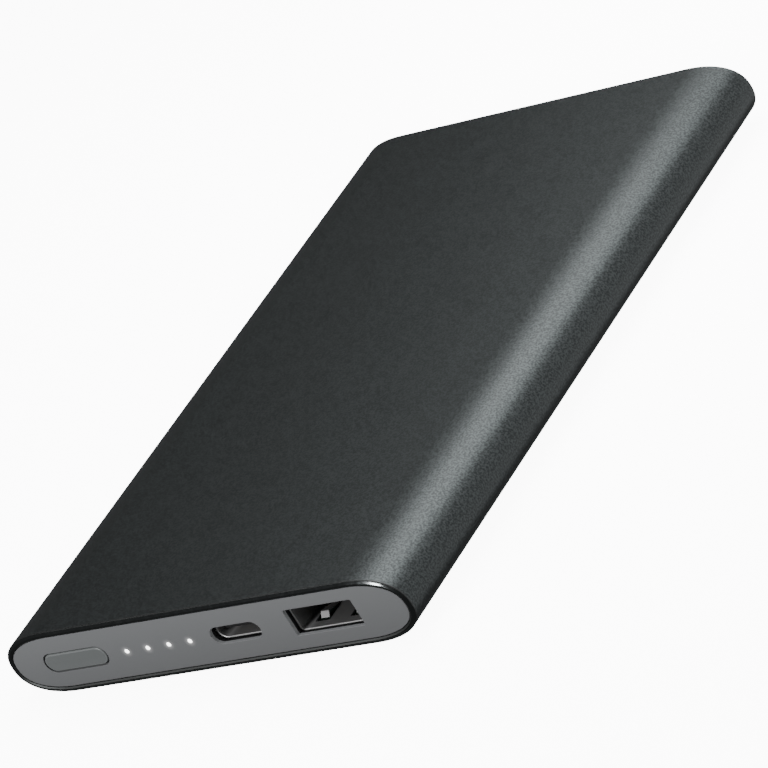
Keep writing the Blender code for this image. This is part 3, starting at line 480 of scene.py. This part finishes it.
def glowing_acrylic(lights):
    """Clear acrylic that shines where its tips come out of the panel."""
    finish = Finish("light_pipe_acrylic", Metallic=0.0, IOR=1.49)
    place = finish.place()
    speckle = finish.noise(place, 0.3 * MM, 2.0)
    finish.feed("Base_Color", finish.blend(speckle, (0.78, 0.80, 0.82), (0.86, 0.88, 0.9)))
    finish.feed("Roughness", 0.22 + speckle * 0.1)
    depth = finish.axis(place, "Y") - PANEL_LOW.y
    glow = 1.0 - depth.between(0.1 * MM, 1.0 * MM)
    finish.feed("Emission_Color", finish.blend(glow, (0.02, 0.02, 0.02), tuple(lights.glow)))
    finish.feed("Emission_Strength", lights.strength)
    return finish.material


# Shapes


def verts_of(geometry):
    """The vertices among an operator's results."""
    return [item for item in geometry if isinstance(item, bmesh.types.BMVert)]


def faces_of(geometry):
    """The faces among an operator's results."""
    return [item for item in geometry if isinstance(item, bmesh.types.BMFace)]


def stand(shape, verts, place):
    """Stand a flat outline up, so that it looks out of the front, and put it in its place."""
    bmesh.ops.rotate(shape, cent=(0, 0, 0), matrix=Matrix.Rotation(math.radians(90), 3, "X"), verts=verts)
    bmesh.ops.translate(shape, vec=place, verts=verts)


def rounded_face(shape, width, height, radius, place, steps=10):
    """Flat rectangle with round corners that looks out of the front; its middle is at its place."""
    corners = bmesh.ops.create_grid(shape, x_segments=1, y_segments=1, size=0.5)["verts"]
    bmesh.ops.scale(shape, vec=(width, height, 1), verts=corners)
    face = corners[0].link_faces[0]
    if radius:
        most = min(width, height) / 2 * 0.9995
        made = bmesh.ops.bevel(shape, geom=corners, offset=min(radius, most), segments=steps,
                               profile=0.5, affect="VERTICES", material=-1, offset_type="OFFSET")
        face = next(iter(made["verts"][0].link_faces))
    stand(shape, list(face.verts), place)
    return face


def pill_face(shape, width, height, place, steps=20):
    """Flat rectangle with half-round ends that looks out of the front."""
    return rounded_face(shape, width, height, height, place, steps)


def round_face(shape, radius, place, steps=32):
    """Flat disc that looks out of the front."""
    verts = bmesh.ops.create_circle(shape, cap_ends=True, radius=radius, segments=steps)["verts"]
    face = verts[0].link_faces[0]
    stand(shape, verts, place)
    return face


def body_face(shape, settings, inset, y):
    """Flat outline of the whole body, moved in by an inset, that looks out of the front."""
    half_step = Matrix.Rotation(math.pi / settings.segments, 4, "Z")
    verts = bmesh.ops.create_circle(shape, cap_ends=True, radius=1.0, segments=settings.segments,
                                    matrix=half_step)["verts"]
    half_width = (SLEEVE_HIGH.x - SLEEVE_LOW.x) / 2
    half_height = (SLEEVE_HIGH.z - SLEEVE_LOW.z) / 2
    power = 2 / settings.side_exponent
    for vert in verts:
        x, z = vert.co.x, vert.co.y
        across = settings.side_depth * abs(x) ** power + half_width - settings.side_depth
        vert.co.x = math.copysign(across, x)
        vert.co.y = math.copysign(half_height * abs(z) ** power, z)
    face = verts[0].link_faces[0]
    stand(shape, verts, (MIDDLE.x, y, MIDDLE.z))
    if inset:
        rim = bmesh.ops.inset_region(shape, faces=[face], thickness=inset, use_even_offset=True,
                                     use_boundary=True)["faces"]
        outer = [v for v in {v for f in rim for v in f.verts} if v not in set(face.verts)]
        bmesh.ops.delete(shape, geom=outer, context="VERTS")
    return face


def step_in(shape, face, inset, depth=0.0):
    """Inset a face and push it out by depth; returns the ring of new faces round it."""
    return bmesh.ops.inset_region(shape, faces=[face], thickness=inset, depth=depth,
                                  use_even_offset=True, use_boundary=True)["faces"]


def push(shape, face, distance):
    """Extrude a face backwards by distance, and keep it as the front cap; returns the new end face."""
    return push_all(shape, [face], distance)[0]


def push_all(shape, faces, distance):
    """Extrude joined faces backwards by distance, and keep them; returns the new end faces."""
    made = bmesh.ops.extrude_face_region(shape, geom=faces)["geom"]
    bmesh.ops.translate(shape, vec=(0, distance, 0), verts=verts_of(made))
    return faces_of(made)


def soften(shape, radius, chosen, segments=3):
    """Round the sharp edges that chosen picks out; returns the new faces."""
    shape.normal_update()
    edges = [e for e in shape.edges if len(e.link_faces) == 2
             and e.calc_face_angle(0.0) > math.radians(24) and chosen(e)]
    return bmesh.ops.bevel(shape, geom=edges, offset=radius, segments=segments, profile=0.5,
                           affect="EDGES", material=-1)["faces"]


def at_depth(y, reach=0.02 * MM):
    """Picks the edges that lie in the plane at depth y."""
    return lambda edge: all(abs(vert.co.y - y) < reach for vert in edge.verts)


def face_outwards(shape):
    """Merge doubles and turn every face to look out of the solid."""
    bmesh.ops.remove_doubles(shape, verts=shape.verts, dist=MERGE)
    bmesh.ops.recalc_face_normals(shape, faces=shape.faces)


def prism(face_maker, thickness):
    """Closed solid from a front outline."""
    shape = bmesh.new()
    push(shape, face_maker(shape), thickness)
    face_outwards(shape)
    return shape


def block(shape, size, middle, radius=0.0):
    """A box in the shape with softened edges, from its size and middle."""
    verts = bmesh.ops.create_cube(shape, size=1.0)["verts"]
    bmesh.ops.scale(shape, vec=size, verts=verts)
    bmesh.ops.translate(shape, vec=middle, verts=verts)
    if radius:
        edges = list({edge for vert in verts for edge in vert.link_edges})
        bmesh.ops.bevel(shape, geom=edges, offset=radius, segments=2, profile=0.5, affect="EDGES",
                        material=-1)


def shape_object(name, shape, materials=()):
    """An object of the shape in the scene, dressed in its materials."""
    mesh = bpy.data.meshes.new(name)
    for material in materials:
        mesh.materials.append(material)
    shape.to_mesh(mesh)
    shape.free()
    piece = bpy.data.objects.new(name, mesh)
    bpy.context.scene.collection.objects.link(piece)
    return piece


def combine(piece, operation, shapes):
    """Join the shapes to the piece, or cut them from it, and keep the result as its mesh."""
    tools = [shape_object("tool", shape) for shape in shapes]
    for tool in tools:
        modifier = piece.modifiers.new("combine", "BOOLEAN")
        modifier.operation = operation
        modifier.solver = "EXACT"
        modifier.object = tool
    graph = bpy.context.evaluated_depsgraph_get()
    piece.data = bpy.data.meshes.new_from_object(piece.evaluated_get(graph))
    piece.modifiers.clear()
    for tool in tools:
        bpy.data.objects.remove(tool)


def hand_over(piece, body, nodes=(), sharp=40):
    """Smooth a finished piece, and fix it to its body in place of its CAD nodes."""
    piece.data.shade_smooth()
    piece.data.set_sharp_from_angle(angle=math.radians(sharp))
    modifier = piece.modifiers.new("even_shading", "WEIGHTED_NORMAL")
    modifier.mode = "FACE_AREA_WITH_ANGLE"
    modifier.keep_sharp = True
    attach(piece, body)
    if nodes:
        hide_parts(*nodes)


# The pieces


class POWERBANK_OT_sleeve(bpy.types.Operator):
    """Build the blasted sleeve with its cut bevels, inner chamfers and screw rails"""

    bl_idname = "powerbank.sleeve"
    bl_label = "Sleeve"

    def execute(self, context):
        s = context.scene.powerbank_sleeve
        shape = bmesh.new()
        front = body_face(shape, s, 0.0, SLEEVE_LOW.y + s.bevel_depth)
        back = push(shape, front, SLEEVE_HIGH.y - SLEEVE_LOW.y - 2 * s.bevel_depth)
        bmesh.ops.recalc_face_normals(shape, faces=shape.faces)
        land = s.wall - s.bevel_inset - s.chamfer_inset
        for cap in (front, back):
            cut = step_in(shape, cap, s.bevel_inset, s.bevel_depth)
            cut += step_in(shape, cap, land)
            for face in cut:
                face.material_index = 1
            for face in step_in(shape, cap, s.chamfer_inset, -s.chamfer_depth):
                face.material_index = 2
        lips = list(front.edges) + list(back.edges)
        bmesh.ops.delete(shape, geom=[front, back], context="FACES_ONLY")
        bmesh.ops.bridge_loops(shape, edges=lips)
        face_outwards(shape)
        outer = (at_depth(SLEEVE_LOW.y + s.bevel_depth), at_depth(SLEEVE_HIGH.y - s.bevel_depth))
        for face in soften(shape, s.edge_radius, lambda e: any(test(e) for test in outer)):
            face.material_index = 2
        crest = (at_depth(SLEEVE_LOW.y), at_depth(SLEEVE_HIGH.y))
        soften(shape, CREST_RADIUS, lambda e: any(test(e) for test in crest), 2)
        sleeve = shape_object("blasted_sleeve", shape, [blasted_metal(s), cut_metal(s), edge_metal(s)])
        rails, pilots = [], []
        for side in (1, -1):
            rail = bmesh.new()
            block(rail, (s.rail_outer - s.rail_inner, 2 * s.rail_start, s.rail_height),
                  (side * (s.rail_outer + s.rail_inner) / 2, 0, MIDDLE.z))
            rails.append(rail)
            for end in (-s.rail_start - MM, s.rail_start - s.pilot_length):
                place = (side * s.pilot_x, end, MIDDLE.z)
                pilots.append(prism(lambda b, p=place: round_face(b, s.pilot_radius, p, 24),
                                    s.pilot_length + MM))
        combine(sleeve, "UNION", rails)
        combine(sleeve, "DIFFERENCE", pilots)
        hand_over(sleeve, "housing", ["casing_sleeve"])
        return {"FINISHED"}


class POWERBANK_OT_front_panel(bpy.types.Operator):
    """Build the grey socket panel with its openings"""

    bl_idname = "powerbank.front_panel"
    bl_label = "Front panel"

    def paint_openings_light_and_shade(self, shape, step):
        """Paint the sockets' openings' walls: a lighter copy of the plastic in front of the step in depth
        as painted light, and black behind it as painted shade.
        """
        for face in shape.faces:
            middle = face.calc_center_median()
            beside = SHELL_C_LOW.x - OPENING_MARGIN < middle.x < SHELL_A_HIGH.x + OPENING_MARGIN
            if beside and abs(face.normal.y) < 0.5 and abs(middle.z - MIDDLE.z) < OPENING_REACH:
                face.material_index = 1 if middle.y < step else 2

    def execute(self, context):
        s = context.scene.powerbank_panel
        lights = context.scene.powerbank_lights
        y = PANEL_LOW.y
        shape = bmesh.new()
        faces = [body_face(shape, context.scene.powerbank_sleeve, PANEL_LOW.x - SLEEVE_LOW.x, y)]
        button_place = ((BUTTON_LOW.x + BUTTON_HIGH.x) / 2, y, (BUTTON_LOW.z + BUTTON_HIGH.z) / 2)
        faces.append(pill_face(shape, s.button_width + 2 * s.button_gap,
                               s.button_height + 2 * s.button_gap, button_place))
        middle_c = (SHELL_C_HIGH + SHELL_C_LOW) / 2
        faces.append(pill_face(shape, s.port_c_width, s.port_c_height, (middle_c.x, y, middle_c.z)))
        middle_a = (SHELL_A_HIGH + SHELL_A_LOW) / 2
        faces.append(rounded_face(shape, s.port_a_width, s.port_a_height, s.port_a_corner,
                                  (middle_a.x, y, middle_a.z)))
        first = LIGHTS_MIDDLE.x - lights.pitch * (lights.count - 1) / 2
        for number in range(lights.count):
            place = (first + lights.pitch * number, y, LIGHTS_MIDDLE.z)
            faces.append(round_face(shape, lights.radius + lights.gap, place))
        bmesh.ops.delete(shape, geom=faces, context="FACES_ONLY")
        bmesh.ops.triangle_fill(shape, edges=shape.edges, use_beauty=True, normal=(0, -1, 0))
        step = push_all(shape, shape.faces[:], s.wall_depth)
        push_all(shape, step, PANEL_HIGH.y - y - s.wall_depth)
        bmesh.ops.delete(shape, geom=step, context="FACES_ONLY")
        face_outwards(shape)
        self.paint_openings_light_and_shade(shape, y + s.wall_depth)
        soften(shape, s.edge_radius, at_depth(y))
        # Painted light and shade: the openings' front walls get a copy of the plastic twice as light, and
        # the black behind them stands in for shadow.
        pale = moulded("opening_wall_painted_light", scaled(s.plastic, 2.0), 0.5).material
        black = moulded("opening_wall_painted_shade", (0.012, 0.012, 0.013), 0.6).material
        panel = shape_object("socket_panel", shape, [panel_plastic(s, lights), pale, black])
        hand_over(panel, "housing", ["front_panel"], 12)
        return {"FINISHED"}


class POWERBANK_OT_rear_panel(bpy.types.Operator):
    """Build the plain panel that closes the back"""

    bl_idname = "powerbank.rear_panel"
    bl_label = "Rear panel"

    def execute(self, context):
        s = context.scene.powerbank_panel
        sleeve = context.scene.powerbank_sleeve
        shape = prism(lambda b: body_face(b, sleeve, REAR_LOW.x - SLEEVE_LOW.x, REAR_LOW.y),
                      REAR_HIGH.y - REAR_LOW.y)
        soften(shape, s.edge_radius, at_depth(REAR_HIGH.y))
        finish = moulded("satin_plastic_rear", tuple(s.plastic), 0.46, SATIN_GRAIN, SATIN_RELIEF, 0.03)
        panel = shape_object("plain_panel", shape, [finish.material])
        hand_over(panel, "housing", ["rear_panel"], 12)
        return {"FINISHED"}


class POWERBANK_OT_button(bpy.types.Operator):
    """Build the push button with its rounded rim, flange and pusher"""

    bl_idname = "powerbank.button"
    bl_label = "Button"

    def execute(self, context):
        s = context.scene.powerbank_panel
        x, z = (BUTTON_LOW.x + BUTTON_HIGH.x) / 2, (BUTTON_LOW.z + BUTTON_HIGH.z) / 2
        flange_front = PANEL_HIGH.y + FLANGE_PLAY
        shape = bmesh.new()
        front = pill_face(shape, s.button_width, s.button_height, (x, BUTTON_LOW.y, z))
        push(shape, front, flange_front + s.flange_thickness / 2 - BUTTON_LOW.y)
        face_outwards(shape)
        # The rim's faces take the second slot, the painted highlight.
        for facet in soften(shape, s.button_rim, at_depth(BUTTON_LOW.y), 5):
            facet.material_index = 1
        satin = (0.36, SATIN_GRAIN, SATIN_RELIEF, 0.02)
        face = moulded("button_plastic_finish", tuple(s.button), *satin).material
        # Painted highlight: the rim gets a lighter copy of the button's plastic, standing in for the light
        # line along its edge.
        rim = moulded("button_rim_painted_highlight", scaled(s.button, 1.3), *satin).material
        button = shape_object("push_button", shape, [face, rim])
        width, height = BUTTON_HIGH.x - BUTTON_LOW.x, BUTTON_HIGH.z - BUTTON_LOW.z
        flange = prism(lambda b: pill_face(b, width, height, (x, flange_front, z)), s.flange_thickness)
        pusher_front = flange_front + s.flange_thickness / 3
        side = s.pusher_side
        pusher = prism(lambda b: rounded_face(b, side, side, PUSHER_CORNER, (x, pusher_front, z)),
                       BUTTON_HIGH.y - pusher_front)
        combine(button, "UNION", [flange])
        combine(button, "UNION", [pusher])
        hand_over(button, "button", ["power_button"], 7)
        return {"FINISHED"}


class POWERBANK_OT_charge_lights(bpy.types.Operator):
    """Build the clear light guide, whose domed tips are the charge lights"""

    bl_idname = "powerbank.charge_lights"
    bl_label = "Charge lights"

    def execute(self, context):
        s = context.scene.powerbank_lights
        bar = bmesh.new()
        front = -s.guide_front
        bar_middle = front + s.guide_thickness / 2
        block(bar, (GUIDE_HIGH.x - GUIDE_LOW.x, s.guide_thickness, GUIDE_HIGH.z - GUIDE_LOW.z),
              (LIGHTS_MIDDLE.x, bar_middle, LIGHTS_MIDDLE.z), BAR_EDGE)
        guide = shape_object("light_pipe", bar, [glowing_acrylic(s)])
        first = LIGHTS_MIDDLE.x - s.pitch * (s.count - 1) / 2
        stub_front = bar_middle - STUB_OVERLAP
        for number in range(s.count):
            x = first + s.pitch * number
            prong = prism(lambda b: round_face(b, s.radius, (x, GUIDE_LOW.y, LIGHTS_MIDDLE.z)),
                          bar_middle - GUIDE_LOW.y)
            soften(prong, s.radius * 0.3, at_depth(GUIDE_LOW.y), 4)
            stub = prism(lambda b: rounded_face(b, s.stub_side, s.stub_side, STUB_CORNER,
                                                (x, stub_front, LIGHTS_MIDDLE.z), 5),
                         GUIDE_HIGH.y - stub_front)
            combine(guide, "UNION", [prong])
            combine(guide, "UNION", [stub])
        hand_over(guide, "housing", ["light_guide"])
        return {"FINISHED"}


def open_shell(face_maker, sheet, depth, lip):
    """A tube of sheet metal from its front outline, with rounded lips."""
    shape = bmesh.new()
    face = face_maker(shape)
    step_in(shape, face, sheet)
    bmesh.ops.delete(shape, geom=[face], context="FACES_ONLY")
    push_all(shape, shape.faces[:], depth)
    face_outwards(shape)
    y = min(vert.co.y for vert in shape.verts)
    soften(shape, lip, at_depth(y), 4)
    return shape


class POWERBANK_OT_small_socket(bpy.types.Operator):
    """Build the small socket: drawn shell, tongue and contact pads"""

    bl_idname = "powerbank.small_socket"
    bl_label = "Small socket"

    def execute(self, context):
        s = context.scene.powerbank_sockets
        size = SHELL_C_HIGH - SHELL_C_LOW
        middle = (SHELL_C_HIGH + SHELL_C_LOW) / 2
        front = (middle.x, SHELL_C_LOW.y, middle.z)
        steel = socket_steel("drawn_steel_small", s, SHELL_C_LOW)
        shell = shape_object("small_socket_shell", open_shell(
            lambda b: pill_face(b, size.x, size.z, front, 24), s.sheet, size.y, LIP_RADIUS), [steel])
        hand_over(shell, "housing", ["usb_c_shell"])

        base = TONGUE_C_HIGH - TONGUE_C_LOW
        root = (middle.x, -s.blade_c_root, middle.z)
        black = moulded("socket_plastic_small", (0.014, 0.014, 0.015), 0.4).material
        tongue = shape_object("small_socket_tongue", prism(
            lambda b: pill_face(b, base.x, base.z, root, 16), TONGUE_C_HIGH.y + s.blade_c_root), [black])
        tip = (middle.x, TONGUE_C_LOW.y, middle.z)
        blade = prism(lambda b: rounded_face(b, s.blade_c_width, s.blade_c_thickness,
                                             BLADE_C_CORNER, tip, 4),
                      BLADE_OVERLAP - s.blade_c_root - TONGUE_C_LOW.y)
        soften(blade, BLADE_C_EDGE, at_depth(TONGUE_C_LOW.y), 2)
        combine(tongue, "UNION", [blade])
        hand_over(tongue, "housing", ["usb_c_tongue"])

        pads = bmesh.new()
        pad_size = (s.pad_pitch * 0.5, PAD_LENGTH, PAD_THICKNESS)
        for side in (1, -1):
            for number in range(s.pad_count):
                x = middle.x + (number - (s.pad_count - 1) / 2) * s.pad_pitch
                z = middle.z + side * (s.blade_c_thickness / 2 + PAD_THICKNESS * (0.5 - PAD_SUNK))
                block(pads, pad_size, (x, TONGUE_C_LOW.y + PAD_RECESS + PAD_LENGTH / 2, z))
        gold = drawn("gold_plating_small", (0.80, 0.56, 0.24), 0.24).material
        pads = shape_object("small_socket_pads", pads, [gold])
        hand_over(pads, "housing")
        return {"FINISHED"}


class POWERBANK_OT_large_socket(bpy.types.Operator):
    """Build the large socket: folded shell with two spring leaves in its floor, and its tongue"""

    bl_idname = "powerbank.large_socket"
    bl_label = "Large socket"

    def leaf(self, s, floor, x):
        """One spring leaf: flat at its root, up over its crest, and down to its tip."""
        front = SHELL_A_LOW.y + s.window_front
        back = front + s.window_length
        rest = floor - (s.sheet - s.leaf_sheet) / 2
        bends = [
            (back + LEAF_ROOT_GRIP, 0.0),
            (back - LEAF_ROOT_FLAT, 0.0),
            (front + LEAF_CREST_BACK, s.leaf_rise),
            (front + LEAF_CREST_FRONT, s.leaf_rise),
            (front + LEAF_TIP, LEAF_TIP_RISE),
        ]
        shape = bmesh.new()
        line = [shape.verts.new((x - s.leaf_width / 2, y, rest + rise)) for y, rise in bends]
        edges = [shape.edges.new(pair) for pair in zip(line, line[1:])]
        made = bmesh.ops.extrude_edge_only(shape, edges=edges)["geom"]
        bmesh.ops.translate(shape, vec=(s.leaf_width, 0, 0), verts=verts_of(made))
        creases = [e for e in shape.edges if len(e.link_faces) == 2]
        bmesh.ops.bevel(shape, geom=creases, offset=LEAF_CREASE, segments=3, profile=0.5, affect="EDGES",
                        material=-1)
        for face in shape.faces:
            if face.normal.z < 0:
                face.normal_flip()
        bmesh.ops.solidify(shape, geom=shape.faces[:], thickness=s.leaf_sheet)
        face_outwards(shape)
        return shape

    def execute(self, context):
        s = context.scene.powerbank_sockets
        size = SHELL_A_HIGH - SHELL_A_LOW
        middle = (SHELL_A_HIGH + SHELL_A_LOW) / 2
        front = (middle.x, SHELL_A_LOW.y, middle.z)
        steel = socket_steel("drawn_steel_large", s, SHELL_A_LOW)
        shell = shape_object("large_socket_shell", open_shell(
            lambda b: rounded_face(b, size.x, size.z, s.shell_a_corner, front, 8), s.sheet, size.y,
            LIP_RADIUS), [steel])
        floor = SHELL_A_LOW.z + s.sheet
        windows, leaves = [], []
        for side in (-1, 1):
            x = middle.x + side * s.window_x
            window = bmesh.new()
            block(window, (s.window_width, s.window_length, 4 * s.sheet),
                  (x, SHELL_A_LOW.y + s.window_front + s.window_length / 2, floor - s.sheet / 2))
            windows.append(window)
            leaves.append(self.leaf(s, floor, x + s.leaf_shift))
        combine(shell, "DIFFERENCE", windows)
        combine(shell, "UNION", leaves)
        hand_over(shell, "housing", ["usb_a_shell"])

        base = TONGUE_A_HIGH - TONGUE_A_LOW
        base_middle = (TONGUE_A_HIGH + TONGUE_A_LOW) / 2
        root = (base_middle.x, -s.blade_a_root, base_middle.z)
        black = moulded("socket_plastic_large", (0.014, 0.014, 0.015), 0.4).material
        tongue = shape_object("large_socket_tongue", prism(
            lambda b: rounded_face(b, base.x, base.z, BLOCK_A_CORNER, root, 4),
            TONGUE_A_HIGH.y + s.blade_a_root), [black])
        tip = (middle.x, TONGUE_A_LOW.y, middle.z + s.blade_a_lift)
        blade = prism(lambda b: rounded_face(b, s.blade_a_width, s.blade_a_thickness,
                                             BLADE_A_CORNER, tip, 4),
                      BLADE_OVERLAP - s.blade_a_root - TONGUE_A_LOW.y)
        soften(blade, BLADE_A_EDGE, at_depth(TONGUE_A_LOW.y), 2)
        combine(tongue, "UNION", [blade])
        hand_over(tongue, "housing", ["usb_a_tongue"])
        return {"FINISHED"}


class POWERBANK_OT_inner_parts(bpy.types.Operator):
    """Give every piece that keeps its packed shape its own finish"""

    bl_idname = "powerbank.inner_parts"
    bl_label = "Inner parts"

    def execute(self, context):
        plastics = {
            "frame_plastic": ((0.02, 0.02, 0.021), 0.6),
            "adhesive": ((0.022, 0.022, 0.023), 0.8),
            "socket_plastic": ((0.014, 0.014, 0.015), 0.45),
            "switch_plastic": ((0.05, 0.05, 0.05), 0.5),
            "led_ceramic": ((0.85, 0.85, 0.8), 0.4),
            "board_laminate": ((0.006, 0.014, 0.010), 0.38),
            "chip_epoxy": ((0.014, 0.014, 0.015), 0.55),
            "ferrite": ((0.06, 0.06, 0.065), 0.7),
            "capacitor_epoxy": ((0.55, 0.33, 0.05), 0.5),
            "tray_plastic": ((0.7, 0.7, 0.68), 0.6),
            "foam": ((0.03, 0.03, 0.03), 0.95),
            "insulation_film": ((0.75, 0.35, 0.06), 0.3),
        }
        metals = {
            "screw_steel": ((0.50, 0.50, 0.51), 0.3),
            "gold_contact": ((0.80, 0.56, 0.24), 0.24),
            "dome_steel": ((0.62, 0.62, 0.63), 0.2),
            "cell_foil": ((0.60, 0.61, 0.63), 0.36),
            "nickel": ((0.62, 0.60, 0.56), 0.3),
        }
        finishes = {name: moulded(name + "_finish", *look).material for name, look in plastics.items()}
        finishes |= {name: drawn(name + "_finish", *look).material for name, look in metals.items()}
        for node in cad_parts.values():
            if not node.hide_render:
                slot = node.material_slots[0]
                slot.material = finishes[slot.material.name]
        return {"FINISHED"}


class POWERBANK_OT_studio(bpy.types.Operator):
    """Set up the camera, the pale floor and the soft lights"""

    bl_idname = "powerbank.studio"
    bl_label = "Studio"

    def camera(self, context, s):
        lens = bpy.data.cameras.new("camera")
        lens.lens = s.lens
        lens.clip_start = 0.01
        camera = bpy.data.objects.new("camera", lens)
        camera.matrix_world = Matrix.LocRotScale(Vector(s.camera_place), Euler(s.camera_turn), None)
        context.scene.collection.objects.link(camera)
        context.scene.camera = camera

    def floor(self, s):
        shape = bmesh.new()
        bmesh.ops.create_grid(shape, x_segments=1, y_segments=1, size=s.floor_size / 2)
        floor = shape_object("studio_floor", shape)
        finish = Finish("pale_floor", Base_Color=(0.8, 0.8, 0.8), Roughness=1.0)
        finish.feed("Specular_IOR_Level", 0.0)
        finish.feed("Emission_Color", (1.0, 1.0, 1.0))
        finish.feed("Emission_Strength", s.floor_glow)
        floor.data.materials.append(finish.material)
        floor.visible_glossy = False
        floor.visible_diffuse = False
        floor.visible_shadow = False

    def softbox(self, context, name, place, size, power, long_way=(0, 1, 0)):
        """A soft rectangular light that looks at the object from its place."""
        lamp = bpy.data.lights.new(name, "AREA")
        lamp.shape = "RECTANGLE"
        lamp.size, lamp.size_y = size
        lamp.energy = power
        light = bpy.data.objects.new(name, lamp)
        back = (Vector(place) - MIDDLE).normalized()
        across = Vector(long_way).cross(back).normalized()
        up = back.cross(across)
        turn = Matrix((across, up, back)).transposed()
        light.matrix_world = Matrix.LocRotScale(Vector(place), turn.to_euler(), None)
        light.visible_camera = False
        context.scene.collection.objects.link(light)

    def room(self, context, s):
        world = bpy.data.worlds.new("studio_room")
        world.use_nodes = True
        context.scene.world = world
        tree = world.node_tree
        background = tree.nodes["Background"]
        place = tree.nodes.new("ShaderNodeTexCoord")
        split = tree.nodes.new("ShaderNodeSeparateXYZ")
        ramp = tree.nodes.new("ShaderNodeMapRange")
        ramp.inputs["From Min"].default_value = -0.15
        ramp.inputs["From Max"].default_value = 0.25
        ramp.inputs["To Min"].default_value = s.ground
        ramp.inputs["To Max"].default_value = s.sky
        tree.links.new(place.outputs["Generated"], split.inputs[0])
        tree.links.new(split.outputs["Z"], ramp.inputs["Value"])
        seen = tree.nodes.new("ShaderNodeLightPath")
        pale = tree.nodes.new("ShaderNodeMix")
        pale.inputs[3].default_value = s.floor_glow
        tree.links.new(seen.outputs["Is Camera Ray"], pale.inputs[0])
        tree.links.new(ramp.outputs["Result"], pale.inputs[2])
        tree.links.new(pale.outputs[0], background.inputs["Strength"])
        background.inputs["Color"].default_value = (0.98, 1.0, 1.0, 1.0)

    def execute(self, context):
        s = context.scene.powerbank_studio
        self.camera(context, s)
        self.floor(s)
        self.room(context, s)
        self.softbox(context, "key_strip", (0.0144, 0.080, 0.2032), (0.164, 0.290), 1.22)
        self.softbox(context, "side_panel", (0.2373, 0.1321, 0.0305), (0.900, 0.643), 2.31, (0, 0, 1))
        self.softbox(context, "front_panel", (-0.222, -0.793, 0.358), (0.130, 0.130), 5.8, (0, 0, 1))
        return {"FINISHED"}


OPERATORS = (
    POWERBANK_OT_studio,
    POWERBANK_OT_sleeve,
    POWERBANK_OT_front_panel,
    POWERBANK_OT_rear_panel,
    POWERBANK_OT_button,
    POWERBANK_OT_charge_lights,
    POWERBANK_OT_small_socket,
    POWERBANK_OT_large_socket,
    POWERBANK_OT_inner_parts,
)


class POWERBANK_PT_pieces(bpy.types.Panel):
    """Lists the pieces and their settings"""

    bl_idname = "POWERBANK_PT_pieces"
    bl_label = "Power Bank"
    bl_space_type = "VIEW_3D"
    bl_region_type = "UI"
    bl_category = "Power Bank"

    def draw(self, context):
        for operator in OPERATORS:
            self.layout.operator(operator.bl_idname)
        for name, group in GROUPS.items():
            box = self.layout.box()
            box.label(text=group.__doc__)
            for key in group.__annotations__:
                box.prop(getattr(context.scene, name), key)


def register():
    """Add the settings, the operators and the panel to Blender."""
    for name, group in GROUPS.items():
        bpy.utils.register_class(group)
        setattr(bpy.types.Scene, name, PointerProperty(type=group))
    for operator in OPERATORS:
        bpy.utils.register_class(operator)
    bpy.utils.register_class(POWERBANK_PT_pieces)


def unregister():
    """Take them out again."""
    bpy.utils.unregister_class(POWERBANK_PT_pieces)
    for operator in reversed(OPERATORS):
        bpy.utils.unregister_class(operator)
    for name, group in GROUPS.items():
        delattr(bpy.types.Scene, name)
        bpy.utils.unregister_class(group)


def main():
    """Build everything."""
    register()
    bpy.ops.powerbank.studio()
    bpy.ops.powerbank.sleeve()
    bpy.ops.powerbank.front_panel()
    bpy.ops.powerbank.rear_panel()
    bpy.ops.powerbank.button()
    bpy.ops.powerbank.charge_lights()
    bpy.ops.powerbank.small_socket()
    bpy.ops.powerbank.large_socket()
    bpy.ops.powerbank.inner_parts()


if __name__ == "__main__":
    main()
